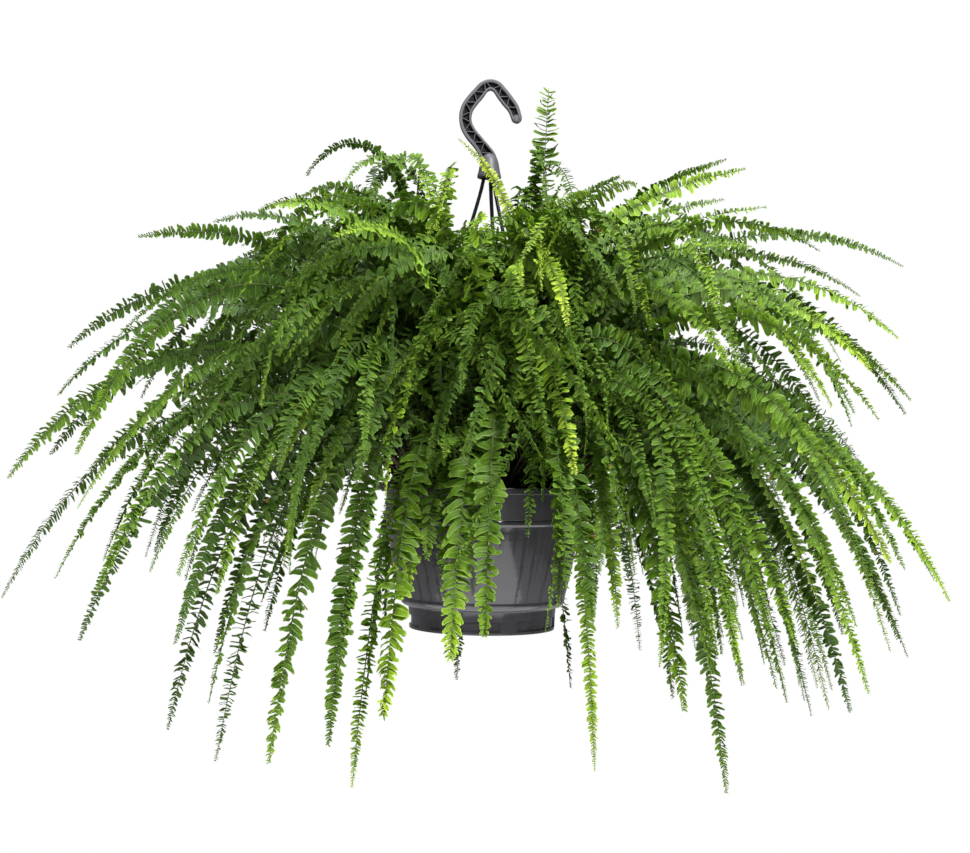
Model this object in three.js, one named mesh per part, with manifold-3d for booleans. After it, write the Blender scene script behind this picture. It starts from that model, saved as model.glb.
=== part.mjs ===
// A fern in a hanging pot. Millimetres, +Z up.
// The origin is the seat of the hook, the point of its inner bend that rests on a rail. The axis of
// the pot is the Z axis, +X is the open side of the hook, and angles are measured from +X towards +Y.
import * as THREE from 'three';
import { mergeVertices } from 'three/addons/utils/BufferGeometryUtils.js';
import Module from 'manifold-3d';

const wasm = await Module();
wasm.setup();

// ---------------------------------------------------------------- driving dimensions

const SOIL_TOP = -475;            // height of the soil below the hook's seat
const RIM_TOP = -457;             // height of the grow pot's rim
const LIP_TOP = -493.6;           // height of the outer shell's lip
const FOOT_BOTTOM = -623;         // height of the foot that the pot can be stood on
const FIT_GAP = 0.4;              // space left between pieces that touch

const ROUND_SIDES = 24;           // sides of the pot, the shell and the soil

const SHELL_RADIUS = 113.5;       // outer, at the lip
const SHELL_WALL = 2.5;
const SHELL_UNDERSIDE = -597;     // height of its bottom, above the foot
const EDGE_CENTRE = [86.5, -588]; // of the round lower edge of the shell, as [radius, height]
const EDGE_RADIUS = 9;
const FOOT_RADIUS = 84;           // outer, at the bottom; it widens a little upwards
const FOOT_WALL = 3.5;

const POT_LEDGE = LIP_TOP + FIT_GAP;
const POT_FLOOR = -585;           // height of the underside of the grow pot's floor
const POT_FLOOR_RADIUS = 90.6;
const POT_NECK_RADIUS = 109.9;    // just under the ledge that rests on the shell
const POT_BAND_RADIUS = 113;      // of the band above the shell
const POT_INSIDE = [              // from the edge of its floor to its rim, as [radius, height]
  [88.8, POT_FLOOR + 2.5], [107.8, POT_LEDGE - 1.5], [110.8, POT_LEDGE + 1], [111, RIM_TOP],
];
const RIM_RADIUS = 125;
const RIM_THICKNESS = 3;
const RIM_SKIRT_WALL = 2;         // the rim's turned-down edge
const RIM_SKIRT_DEPTH = 7;
const DRAIN_HOLES = 5;
const DRAIN_HOLE_RADIUS = 4.5;
const DRAIN_CIRCLE = 60;          // radius of the circle of drain holes

const HOOK_THICKNESS = 10;        // along Y
const HOOK_HALF_WIDTH = 7.2;      // half the width of the strap, seen from the front
const HOOK_TOP = 6.2;             // height of the middle of the strap over the seat
const HOOK_PATH = [               // middle of the strap as [x, z], from the collar to the tip
  [0.4, -98], [0.3, -88.5], [-1.4, -78.5], [-6.4, -70.2], [-13.9, -60.5], [-22, -51],
  [-27.4, -41.1], [-28.8, -31], [-26.6, -21.1], [-20.7, -12], [-13.7, -3.7], [-7.6, 3.5],
  [0, HOOK_TOP], [7.1, 3.7], [12.8, -3.1], [19.4, -11.5], [26.4, -20.5], [30.5, -31.2],
  [31.2, -34.3],
];
const HOOK_STEPS = 22;            // places along the strap where its outline has corners
const SEAT_WAIST = 1;             // how much narrower, to each side, the strap is at the seat
const SEAT_FROM = -6;             // height from which it narrows
const NECK_FLARE = 4;             // how much wider, to each side, the strap starts in the collar
const NECK_LENGTH = 38;           // over which it narrows
const TIP_TAPER = 1.1;            // how fast it narrows again, past TIP_FROM of its length
const TIP_FROM = 0.85;
const TIP_LENGTH = 4;             // of its pointed end
const POCKETS_FROM = 18;          // along the strap, and as far from its end as POCKETS_SHORT
const POCKETS_SHORT = 6;
const POCKET_DEPTH = 3.2;         // of the pockets between the struts, from either face
const POCKET_PITCH = 7.6;
const POCKET_HALF_LENGTH = 5.6;
const POCKET_HALF_WIDTH = 3.2;
const COLLAR_TOP = -88;
const COLLAR_BOTTOM = -102.5;
const COLLAR_TOP_RADIUS = 11.4;
const COLLAR_BOTTOM_RADIUS = 14;
const COLLAR_BAND = 3;            // height of the straight bands at its top and bottom
const SOCKET_CIRCLE = 7;          // radius of the circle that the strand sockets stand on
const SOCKET_RADIUS = 2.4;
const SOCKET_DEPTH = 8;

const STRAND_ANGLES = [196, 316, 76];
const STRAND_RADIUS = 2.1;
const STRAND_CIRCLE = 118;        // radius of the circle of rim holes
const RIM_HOLE_RADIUS = 3.1;
const KNOB_RADIUS = 3.3;
const KNOB_LENGTH = 5;

const CROWN_COUNT = 36;
const FRONDS_PER_CROWN = 4;
const CROWN_DISC_RADIUS = 92;     // disc of soil that the crowns stand in
const GOLDEN_ANGLE = 137.508;     // degrees from one crown to the next
const CROWN_RADIUS = 7;
const CROWN_TOP = 0.7;            // of that radius, at its top
const CROWN_SIDES = 5;
const CROWN_HOLE_GAP = 0.6;       // round it, and FIT_GAP under it
const CROWN_DEPTH = 14;           // below the soil
const CROWN_HEIGHT = 8;           // above it

// ---------------------------------------------------------------- solids

function toSolid(geometry) {
  const plain = geometry.clone();
  plain.deleteAttribute('normal');
  plain.deleteAttribute('uv');
  const merged = mergeVertices(plain, 1e-4);
  return new wasm.Manifold(new wasm.Mesh({
    numProp: 3,
    vertProperties: new Float32Array(merged.attributes.position.array),
    triVerts: new Uint32Array(merged.index.array),
  }));
}

function toGeometry(solid) {
  const mesh = solid.getMesh();
  const geometry = new THREE.BufferGeometry();
  geometry.setAttribute('position', new THREE.BufferAttribute(mesh.vertProperties, 3));
  geometry.setIndex(new THREE.BufferAttribute(mesh.triVerts, 1));
  return geometry;
}

function lathe(profile, sides = ROUND_SIDES) {
  const points = profile.map(([radius, height]) => new THREE.Vector2(radius, height));
  return new THREE.LatheGeometry(points, sides).rotateX(Math.PI / 2);
}

function cylinder(radius, bottom, top, x, y, sides) {
  const geometry = new THREE.CylinderGeometry(radius, radius, top - bottom, sides);
  return geometry.rotateX(Math.PI / 2).translate(x, y, (top + bottom) / 2);
}

function onCircle(radius, degrees, z) {
  const angle = THREE.MathUtils.degToRad(degrees);
  return new THREE.Vector3(radius * Math.cos(angle), radius * Math.sin(angle), z);
}

const UP = new THREE.Vector3(0, 0, 1);
const Y_AXIS = new THREE.Vector3(0, 1, 0);

const object = new THREE.Group();

function addPiece(name, geometry, material) {
  const mesh = new THREE.Mesh(geometry, material);
  mesh.name = name;
  object.add(mesh);
}

// ---------------------------------------------------------------- materials

function finish(color, roughness) {
  return new THREE.MeshStandardMaterial({ color, roughness, metalness: 0 });
}

const potPlastic = finish(0x26272a, 0.4);
const shellPlastic = finish(0x3a3a40, 0.25);
const hookPlastic = finish(0x4a5058, 0.5);
const strandPlastic = finish(0x17181a, 0.3);
const soilMatter = finish(0x2a1e15, 0.95);
const crownGreens = [0x3f7d1e, 0x4c8a22, 0x5a9a26, 0x35701c].map((color) => finish(color, 0.55));

// ---------------------------------------------------------------- outer shell and grow pot

function outerShell() {
  const footTop = FOOT_RADIUS + 1.5;
  const lowerEdge = [1, 0.4, -0.1].map((part) => {
    const angle = part * Math.PI / 2;
    return [EDGE_CENTRE[0] + EDGE_RADIUS * Math.cos(angle), EDGE_CENTRE[1] - EDGE_RADIUS * Math.sin(angle)];
  });
  const innerFloor = SHELL_UNDERSIDE + SHELL_WALL;
  return lathe([
    [0, SHELL_UNDERSIDE], [footTop - FOOT_WALL, SHELL_UNDERSIDE],
    [FOOT_RADIUS - FOOT_WALL, FOOT_BOTTOM], [FOOT_RADIUS, FOOT_BOTTOM], [footTop, SHELL_UNDERSIDE],
    ...lowerEdge,
    [SHELL_RADIUS, LIP_TOP], [SHELL_RADIUS - SHELL_WALL, LIP_TOP],
    [EDGE_CENTRE[0] + EDGE_RADIUS - SHELL_WALL, EDGE_CENTRE[1] + 2],
    [EDGE_CENTRE[0] - SHELL_WALL, innerFloor], [0, innerFloor],
  ]);
}

function growPot() {
  const rimUnderside = RIM_TOP - RIM_THICKNESS;
  const skirtInside = RIM_RADIUS - RIM_SKIRT_WALL;
  const body = lathe([
    [0, POT_FLOOR], [POT_FLOOR_RADIUS, POT_FLOOR], [POT_NECK_RADIUS, POT_LEDGE],
    [POT_BAND_RADIUS, POT_LEDGE], [POT_BAND_RADIUS, rimUnderside], [skirtInside, rimUnderside],
    [skirtInside, RIM_TOP - RIM_SKIRT_DEPTH], [RIM_RADIUS, RIM_TOP - RIM_SKIRT_DEPTH],
    [RIM_RADIUS, RIM_TOP], ...POT_INSIDE.toReversed(), [0, POT_INSIDE[0][1]],
  ]);
  const holes = STRAND_ANGLES.map((degrees) => {
    const { x, y } = onCircle(STRAND_CIRCLE, degrees);
    return cylinder(RIM_HOLE_RADIUS, rimUnderside - 1, RIM_TOP + 1, x, y, 8);
  });
  for (let index = 0; index < DRAIN_HOLES; index += 1) {
    const { x, y } = onCircle(DRAIN_CIRCLE, index * 360 / DRAIN_HOLES);
    holes.push(cylinder(DRAIN_HOLE_RADIUS, POT_FLOOR - 1, POT_INSIDE[0][1] + 1, x, y, 5));
  }
  return toGeometry(holes.reduce((solid, hole) => solid.subtract(toSolid(hole)), toSolid(body)));
}

// ---------------------------------------------------------------- hook and strands

// Half the strap's width at a distance along it, where its middle is at a height.
function strapHalfWidth(distance, length, height) {
  const flare = NECK_FLARE * Math.max(0, 1 - distance / NECK_LENGTH);
  const waist = SEAT_WAIST * Math.max(0, height - SEAT_FROM) / (HOOK_TOP - SEAT_FROM);
  const tip = 1 - TIP_TAPER * Math.max(0, distance / length - TIP_FROM);
  return (HOOK_HALF_WIDTH + flare - waist) * tip;
}

function hookOutline() {
  const path = new THREE.CatmullRomCurve3(HOOK_PATH.map(([x, z]) => new THREE.Vector3(x, z, 0)));
  const inner = [];
  const outer = [];
  for (let step = 0; step <= HOOK_STEPS; step += 1) {
    const at = step / HOOK_STEPS;
    const middle = path.getPointAt(at);
    const along = path.getTangentAt(at);
    const half = strapHalfWidth(at * path.getLength(), path.getLength(), middle.y);
    inner.push(new THREE.Vector2(middle.x + along.y * half, middle.y - along.x * half));
    outer.push(new THREE.Vector2(middle.x - along.y * half, middle.y + along.x * half));
  }
  const end = path.getPointAt(1).addScaledVector(path.getTangentAt(1), TIP_LENGTH);
  return { path, shape: new THREE.Shape([...inner, new THREE.Vector2(end.x, end.y), ...outer.reverse()]) };
}

// The struts of the strap: what is left between triangles that point in and out by turns.
function hookPockets(path) {
  const length = path.getLength();
  const count = Math.floor((length - POCKETS_FROM - POCKETS_SHORT) / POCKET_PITCH);
  const shapes = [];
  for (let index = 0; index < count; index += 1) {
    const centre = (POCKETS_FROM + (index + 0.5) * POCKET_PITCH) / length;
    const middle = path.getPointAt(centre);
    const along = path.getTangentAt(centre);
    const across = new THREE.Vector3(-along.y, along.x, 0).multiplyScalar(index % 2 ? 1 : -1);
    const corner = (s, w) => {
      const place = middle.clone().addScaledVector(along, s).addScaledVector(across, w);
      return new THREE.Vector2(place.x, place.y);
    };
    shapes.push(new THREE.Shape([
      corner(-POCKET_HALF_LENGTH, -POCKET_HALF_WIDTH), corner(POCKET_HALF_LENGTH, -POCKET_HALF_WIDTH),
      corner(0, POCKET_HALF_WIDTH),
    ]));
  }
  return shapes;
}

function extrudeAlongY(shape, from, to) {
  const geometry = new THREE.ExtrudeGeometry(shape, { depth: to - from, bevelEnabled: false });
  return geometry.translate(0, 0, from).rotateX(Math.PI / 2);
}

function hook() {
  const half = HOOK_THICKNESS / 2;
  const { path, shape } = hookOutline();
  let solid = toSolid(extrudeAlongY(shape, -half, half));
  for (const pocket of hookPockets(path)) {
    solid = solid.subtract(toSolid(extrudeAlongY(pocket, half - POCKET_DEPTH, half + 1)));
    solid = solid.subtract(toSolid(extrudeAlongY(pocket, -half - 1, POCKET_DEPTH - half)));
  }
  solid = solid.add(toSolid(lathe([
    [0, COLLAR_BOTTOM], [COLLAR_BOTTOM_RADIUS, COLLAR_BOTTOM],
    [COLLAR_BOTTOM_RADIUS, COLLAR_BOTTOM + COLLAR_BAND],
    [COLLAR_TOP_RADIUS, COLLAR_TOP - COLLAR_BAND], [COLLAR_TOP_RADIUS, COLLAR_TOP], [0, COLLAR_TOP],
  ], 16)));
  for (const degrees of STRAND_ANGLES) {
    const top = strandPoint(degrees, COLLAR_BOTTOM + SOCKET_DEPTH);
    const bottom = strandPoint(degrees, COLLAR_BOTTOM - 2);
    solid = solid.subtract(toSolid(rodBetween(top, bottom, SOCKET_RADIUS, 8)));
  }
  return toGeometry(solid);
}

// The strands are pulled straight, so each is a rod from its socket to the knob under the rim, and
// goes through the middle of its hole.
function strandPoint(degrees, z) {
  const drop = (COLLAR_BOTTOM - z) / (COLLAR_BOTTOM - RIM_TOP + RIM_THICKNESS / 2);
  return onCircle(SOCKET_CIRCLE + (STRAND_CIRCLE - SOCKET_CIRCLE) * drop, degrees, z);
}

function rodBetween(from, to, radius, sides) {
  const along = to.clone().sub(from);
  const geometry = new THREE.CylinderGeometry(radius, radius, along.length(), sides);
  geometry.applyQuaternion(new THREE.Quaternion().setFromUnitVectors(Y_AXIS, along.clone().normalize()));
  return geometry.translate((from.x + to.x) / 2, (from.y + to.y) / 2, (from.z + to.z) / 2);
}

function strand(degrees) {
  const top = strandPoint(degrees, COLLAR_BOTTOM + SOCKET_DEPTH - 2 * FIT_GAP);
  const bottom = strandPoint(degrees, RIM_TOP - RIM_THICKNESS - KNOB_LENGTH / 2);
  const knobTop = strandPoint(degrees, RIM_TOP - RIM_THICKNESS - 2 * FIT_GAP);
  const knobBottom = knobTop.clone().setZ(knobTop.z - KNOB_LENGTH);
  const rod = toSolid(rodBetween(top, bottom, STRAND_RADIUS, 8));
  return toGeometry(rod.add(toSolid(rodBetween(knobTop, knobBottom, KNOB_RADIUS, 8))));
}

// ---------------------------------------------------------------- how the fronds arch

// A frond is an arch from its crown to its tip. Low fronds leave at the pot's edge and hang past the
// pot, middle ones reach furthest out, and the youngest stand up in the middle. LEVELS runs from the
// lowest frond to the highest, and REACH and TIP_HEIGHT give the place of the tip of a full one,
// from the axis and above the soil.
const LEVELS = [0, 0.15, 0.30, 0.45, 0.60, 0.75, 0.88, 1];
const REACH = [165, 300, 430, 540, 550, 490, 395, 190];
const TIP_HEIGHT = [-300, -320, -240, -110, 40, 160, 275, 340];

// How far the handles of the arch are lifted, against the height of its tip.
const LIFT_TIPS = [-330, -300, -130, 14, 170, 300, 375, 500];
const LIFTS = [98, 102, 145, 205, 275, 328, 414, 540];

// Fronds that stand out: [angle of the tip, its distance from the axis, its height above the soil],
// with a lift, a twist or a size of their own where they have one, and with the number of their crown
// where they lean away from it.
const FEATURED = [
  // the left side, from the top down
  [172, 219, 374], [205, 180, 352], [188, 265, 327, { lift: 330 }], [176, 416, 300, { lift: 292 }],
  [196, 330, 300, { lift: 300 }],
  [168, 525, 170], [196, 432, 170], [188, 487, 110], [174, 522, 40], [182, 550, 14],
  [176, 571, -130], [190, 486, -97], [204, 449, -99], [182, 464, -172], [218, 396, -75],
  [200, 363, -156], [188, 358, -268], [208, 330, -219], [194, 303, -304], [206, 257, -290],
  [222, 219, -264], [240, 293, -185], [228, 204, -307, { twist: -35 }],
  // hanging in front of the pot
  [243, 223, -221], [257, 190, -162], [271, 205, -136], [290, 249, -82],
  // the middle and the top
  [350, 68, 478, { crown: 13, lift: 350, twist: 90 }],
  [208, 43, 417, { crown: 26, lift: 345, size: 0.45, twist: 60 }],
  [300, 251, 347, { lift: 300 }], [8, 294, 411, { lift: 340 }], [352, 297, 383, { lift: 325 }],
  [12, 352, 357, { lift: 305 }], [340, 277, 343, { lift: 295 }],
  // the right side, from the top down
  [350, 381, 286], [4, 494, 280], [15, 478, 251], [355, 472, 191], [340, 442, 149],
  [350, 482, 120], [330, 468, 96], [357, 559, -116], [10, 559, -96], [350, 483, -167],
  [330, 483, -50], [338, 437, -122], [352, 422, -233], [345, 379, -231], [333, 367, -206],
  [320, 338, -184], [345, 287, -323], [318, 301, -176], [322, 268, -219], [310, 205, -283],
  [300, 231, -116], [312, 263, -68],
  // bright tips that end in front of the mass
  [232, 222, 17], [248, 223, 100], [240, 208, 8], [220, 288, 154], [212, 325, 114],
  [226, 277, 46], [208, 353, 65], [222, 334, -11], [285, 180, 169], [292, 226, 189],
  [294, 232, 35], [318, 320, 144], [322, 360, 19], [325, 453, -4],
];

// How far out from the root the handles of the arch stand, as a part of the way to the tip: the near
// one against the height of the tip, and the far one; and how high, as a part of the lift.
const NEAR_HANDLE_TIPS = [-300, 400];
const NEAR_HANDLE = [0.34, 0.12];
const FAR_HANDLE = 0.7;
const NEAR_HANDLE_RISE = 1.05;
const FAR_HANDLE_RISE = 1.12;
const ROOT_OUT = 2.5;             // from the middle of the crown to the root of a frond
const ROOT_UP = 2;

const LEVEL_FALL = 1.2;           // how the level of the crowns falls towards the pot's edge
const FROND_SPREAD = 9.5;         // degrees between the fronds of a crown at the edge
const WIDEST_SPREAD = 5;          // times that, between those of a crown in the middle
const EDGE_CROWN_RADIUS = 85;
const LEVEL_STEP = 0.045;         // by turns up and down, from one frond of a crown to the next
const LOWEST_LEVEL = 0.03;

function lookUp(value, from, to) {
  let index = 1;
  while (index < from.length - 1 && value > from[index]) index += 1;
  const part = (value - from[index - 1]) / (from[index] - from[index - 1]);
  return to[index - 1] + (to[index] - to[index - 1]) * Math.min(1, Math.max(0, part));
}

let seed = 9001;
function random() {
  seed = (seed * 1664525 + 1013904223) % 4294967296;
  return seed / 4294967296;
}

function randomBetween(low, high) {
  return low + (high - low) * random();
}

function turnBetween(from, to) {
  return ((to - from + 540) % 360 + 360) % 360 - 180;
}

// Fronds roll to one side or the other as they reach out, most where they stand out to the sides.
function twistFor(angle, chance) {
  const most = 40 + 45 * Math.abs(Math.cos(THREE.MathUtils.degToRad(angle)));
  return (chance < 0.5 ? -1 : 1) * most * (0.45 + 0.55 * Math.abs(2 * chance - 1));
}

// The front of the pot is left in view: the low fronds that would hang there are short.
function overPot(angle, level) {
  return level < 0.55 && Math.abs(turnBetween(275, angle)) < 30;
}

// Each crown stands a golden angle on from the last, further out and with lower fronds.
function plantCrowns() {
  const crowns = [];
  for (let index = 0; index < CROWN_COUNT; index += 1) {
    const share = (index + 0.5) / CROWN_COUNT;
    const radius = CROWN_DISC_RADIUS * Math.sqrt(share);
    const angle = (index * GOLDEN_ANGLE) % 360;
    const level = 1 - share ** LEVEL_FALL;
    const spread = FROND_SPREAD * Math.min(WIDEST_SPREAD, Math.max(1, EDGE_CROWN_RADIUS / radius));
    const fronds = [];
    for (let slot = 0; slot < FRONDS_PER_CROWN; slot += 1) {
      const across = slot - (FRONDS_PER_CROWN - 1) / 2;
      const tipAngle = angle + across * spread + randomBetween(-2.5, 2.5);
      const raise = (slot % 2 ? LEVEL_STEP : -LEVEL_STEP) + randomBetween(-0.025, 0.025);
      const frondLevel = Math.min(1, Math.max(LOWEST_LEVEL, level + raise));
      fronds.push({
        angle: tipAngle,
        reach: lookUp(frondLevel, LEVELS, REACH),
        height: lookUp(frondLevel, LEVELS, TIP_HEIGHT),
        length: randomBetween(0.72, 0.97) * (overPot(tipAngle, frondLevel) ? 0.6 : 1),
        sway: randomBetween(-8, 8),
        twist: twistFor(tipAngle, random()),
        size: randomBetween(0.85, 1.15),
        featured: false,
      });
    }
    crowns.push({ radius, angle, fronds });
  }
  return crowns;
}

// Each frond that stands out takes the place of the one nearest to it in direction and height, where
// NEAR_TURN degrees count as much as NEAR_DROP millimetres.
const NEAR_TURN = 12;
const NEAR_DROP = 60;
function placeFeatured(crowns) {
  const all = crowns.flatMap((crown) => crown.fronds);
  for (const [angle, reach, height, own = {}] of FEATURED) {
    let best = null;
    let least = Infinity;
    for (const frond of crowns[own.crown]?.fronds ?? all) {
      if (frond.featured) continue;
      const turn = turnBetween(frond.angle, angle) / NEAR_TURN;
      const drop = (frond.height - height) / NEAR_DROP;
      const cost = turn * turn + drop * drop;
      if (cost < least) {
        least = cost;
        best = frond;
      }
    }
    Object.assign(best, { angle, reach, height, length: 1, sway: 0, featured: true }, own);
  }
}

// The gap in which the strands show stays open: no other frond stands up in it.
const GAP_LEFT = -85;
const GAP_RIGHT = 45;
const GAP_SILL = 240;             // above the soil
function leaveGapOpen(crowns) {
  for (const frond of crowns.flatMap((crown) => crown.fronds)) {
    const tipX = frond.reach * Math.cos(THREE.MathUtils.degToRad(frond.angle));
    if (frond.featured || tipX < GAP_LEFT || tipX > GAP_RIGHT) continue;
    frond.height = Math.min(frond.height, GAP_SILL);
  }
}

// Fronds bent aside by some degrees, because their ribs would cross: [crown, frond, degrees].
const BENT_ASIDE = [
  [0, 0, 3], [1, 0, 6], [2, 3, 3], [3, 0, 3], [3, 3, 5], [4, 0, 3], [5, 3, 5], [12, 3, 3],
  [21, 0, 8], [23, 0, 3], [26, 2, -3], [32, 0, -5],
];
function bendAside(crowns) {
  for (const [crown, frond, degrees] of BENT_ASIDE) crowns[crown].fronds[frond].angle += degrees;
}

// No frond crosses a strand: where its tip points within a few degrees of one, it leans aside.
const STRAND_BERTH = 9;
function leaveStrandsClear(crowns) {
  for (const frond of crowns.flatMap((crown) => crown.fronds)) {
    for (const strandAngle of STRAND_ANGLES) {
      const turn = turnBetween(strandAngle, frond.angle);
      if (Math.abs(turn) < STRAND_BERTH) frond.angle = strandAngle + (turn < 0 ? -1 : 1) * STRAND_BERTH;
    }
  }
}

class FrondCurve extends THREE.Curve {
  constructor(crown, frond) {
    super();
    this.frond = frond;
    const tip = onCircle(frond.reach, frond.angle, frond.height);
    const root = onCircle(crown.radius, crown.angle, 0).add(onCircle(ROOT_OUT, frond.angle, ROOT_UP));
    const lift = frond.lift ?? lookUp(frond.height, LIFT_TIPS, LIFTS);
    const out = tip.clone().sub(root).setZ(0);
    const near = lookUp(frond.height, NEAR_HANDLE_TIPS, NEAR_HANDLE);
    this.arch = new THREE.CubicBezierCurve3(
      root,
      root.clone().addScaledVector(out, near).setZ(lift * NEAR_HANDLE_RISE),
      root.clone().addScaledVector(out, FAR_HANDLE).setZ(lift * FAR_HANDLE_RISE),
      tip,
    );
  }

  getPoint(t, target = new THREE.Vector3()) {
    const along = t * this.frond.length;
    this.arch.getPoint(along, target);
    const turn = THREE.MathUtils.degToRad(this.frond.sway) * along * along;
    target.applyAxisAngle(UP, turn);
    target.z += SOIL_TOP;
    return target;
  }
}

// ---------------------------------------------------------------- the solid of a frond

const BARE_PART = 0.17;           // of a frond's length, from the crown to its first leaflets
const RIB_PIECE = 66;             // length of a piece of rib, which carries a leaflet to each side
const LEAFLET_LENGTH = 22;
const RIB_HALF_WIDTH = 1.5;       // at the crown
const RIB_DEPTH = 2.2;
const RIB_TAPER = 0.55;           // of its thickness, which it loses on the way to the tip
const LAST_LEAFLETS = 0.96;       // of the leafy part, where the last rib piece with leaflets ends
const FULL_TWIST = 0.4;           // of the length, where a frond has rolled as far as it will
const LEAFLET_PLACE = 0.6;        // of the way along its rib piece, where a leaflet's tip stands
const LEAFLET_SWEEP = 0.3;        // of its length, forward
const LEAFLET_SINK = 0.1;         // of its length, down

// Half the width of a frond, against the part of its leafy length: it swells, then runs to a point.
const OUTLINE_AT = [0, 0.12, 0.3, 0.6, 0.85, 1];
const OUTLINE = [0.45, 0.8, 1, 0.9, 0.55, 0.15];

function frondStations(curve, frond) {
  const length = curve.getLength();
  const pieces = Math.max(4, Math.min(8, Math.round(length * (1 - BARE_PART) / RIB_PIECE)));
  const places = [0, BARE_PART / 2];
  for (let piece = 0; piece <= pieces; piece += 1) {
    places.push(BARE_PART + (1 - BARE_PART) * LAST_LEAFLETS * piece / pieces);
  }
  const sideways = onCircle(1, frond.angle + 90, 0);
  return places.map((at) => {
    const along = curve.getTangentAt(at);
    const side = sideways.clone().addScaledVector(along, -sideways.dot(along)).normalize();
    side.applyAxisAngle(along, THREE.MathUtils.degToRad(frond.twist) * Math.min(1, at / FULL_TWIST));
    const up = new THREE.Vector3().crossVectors(along, side);
    const slim = 1 - RIB_TAPER * at;
    const [half, deep] = [RIB_HALF_WIDTH * slim, RIB_DEPTH * slim];
    return { at, along, side, up, place: curve.getPointAt(at), half, deep };
  });
}

// The rib has three sides: flat on top, with a keel below. A ring is its left edge, keel, right edge.
function ribRing({ place, side, up, half, deep }) {
  return [
    place.clone().addScaledVector(side, -half).addScaledVector(up, deep / 2),
    place.clone().addScaledVector(up, -deep / 2),
    place.clone().addScaledVector(side, half).addScaledVector(up, deep / 2),
  ];
}

function leafletTip(from, to, frond, hand) {
  const at = (from.at + (to.at - from.at) * LEAFLET_PLACE - BARE_PART) / (1 - BARE_PART);
  const length = LEAFLET_LENGTH * frond.size * lookUp(at, OUTLINE_AT, OUTLINE);
  return from.place.clone().lerp(to.place, LEAFLET_PLACE)
    .addScaledVector(from.side, hand * (length + from.half))
    .addScaledVector(from.along, length * LEAFLET_SWEEP)
    .addScaledVector(from.up, from.deep / 2 - length * LEAFLET_SINK);
}

// The corners of the side face of a rib piece, to the left (-1) or the right (1).
function sideFace(near, far, hand) {
  return [near[hand + 1], near[1], far[1], far[hand + 1]];
}

// One frond as loose parts: its rib pieces, and the leaflets that stand on the rib's lower sides.
function frondParts(crown, frond, name) {
  const curve = new FrondCurve(crown, frond);
  const stations = frondStations(curve, frond);
  const rings = stations.map(ribRing);
  const tip = curve.getPointAt(1);
  const leaflets = [];
  for (let index = 2; index < stations.length - 1; index += 1) {
    for (const hand of [-1, 1]) {
      const apex = leafletTip(stations[index], stations[index + 1], frond, hand);
      const face = sideFace(rings[index], rings[index + 1], hand);
      leaflets.push({ name, index, hand, points: [...face, apex], kept: true });
    }
  }
  const ribs = rings.map((ring, index) => {
    const points = [...ring, ...(rings[index + 1] ?? [tip])];
    return { name, index, points };
  });
  return { rings, tip, leaflets, ribs };
}

function frondGeometry({ rings, tip, leaflets }) {
  const corners = [];
  const triangle = (...points) => points.forEach((point) => corners.push(point.x, point.y, point.z));
  triangle(rings[0][0], rings[0][2], rings[0][1]);
  for (let index = 0; index < rings.length - 1; index += 1) {
    const [near, far] = [rings[index], rings[index + 1]];
    triangle(near[2], near[0], far[0]);
    triangle(near[2], far[0], far[2]);
    for (const hand of [-1, 1]) {
      const [a, b, c, d] = sideFace(near, far, hand);
      const leaflet = leaflets.find((one) => one.kept && one.index === index && one.hand === hand);
      const faces = leaflet
        ? [[a, b], [b, c], [c, d], [d, a]].map((pair) => [...pair, leaflet.points[4]])
        : [[a, b, c], [a, c, d]];
      faces.forEach(([p, q, r]) => (hand < 0 ? triangle(p, q, r) : triangle(q, p, r)));
    }
  }
  const last = rings[rings.length - 1];
  for (const [i, j] of [[0, 1], [1, 2], [2, 0]]) triangle(last[i], last[j], tip);
  const geometry = new THREE.BufferGeometry();
  geometry.setAttribute('position', new THREE.Float32BufferAttribute(corners, 3));
  return geometry;
}

// ---------------------------------------------------------------- keeping leaflets apart

const LEAFLET_GAP = 0.5;          // least space between a leaflet and anything of another crown

// A body is a few corners with its last one as the peak, its edges, and the normals of its faces.
function prepare(body) {
  const peak = body.points[body.points.length - 1];
  const around = body.points.slice(0, -1);
  const slopes = around.map((point) => peak.clone().sub(point));
  const rims = around.map((point, index) => around[(index + 1) % around.length].clone().sub(point));
  body.edges = [...slopes, ...rims];
  body.normals = slopes.map((slope, index) => new THREE.Vector3().crossVectors(slope, rims[index]));
  body.normals.push(new THREE.Vector3().crossVectors(rims[0], rims[1]));
  body.box = new THREE.Box3().setFromPoints(body.points).expandByScalar(LEAFLET_GAP);
  return body;
}

function partedAlong(axis, first, second) {
  const length = axis.length();
  if (length < 1e-3) return false;
  let [firstLow, firstHigh, secondLow, secondHigh] = [Infinity, -Infinity, Infinity, -Infinity];
  for (const point of first.points) {
    const along = point.dot(axis);
    firstLow = Math.min(firstLow, along);
    firstHigh = Math.max(firstHigh, along);
  }
  for (const point of second.points) {
    const along = point.dot(axis);
    secondLow = Math.min(secondLow, along);
    secondHigh = Math.max(secondHigh, along);
  }
  return Math.max(secondLow - firstHigh, firstLow - secondHigh) > LEAFLET_GAP * length;
}

const crossed = new THREE.Vector3();

// Two convex bodies are apart where some axis, a face's normal or the cross of two edges, parts them.
function apart(first, second) {
  if ([...first.normals, ...second.normals].some((axis) => partedAlong(axis, first, second))) return true;
  return first.edges.some((one) => second.edges.some((other) => (
    partedAlong(crossed.crossVectors(one, other), first, second))));
}

// Neighbours on one frond share an edge, so they aren't tested against each other.
function meets(body, others) {
  return others.some((other) => (other.name !== body.name || Math.abs(other.index - body.index) > 1)
    && other.box.intersectsBox(body.box) && !apart(body, other));
}

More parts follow.
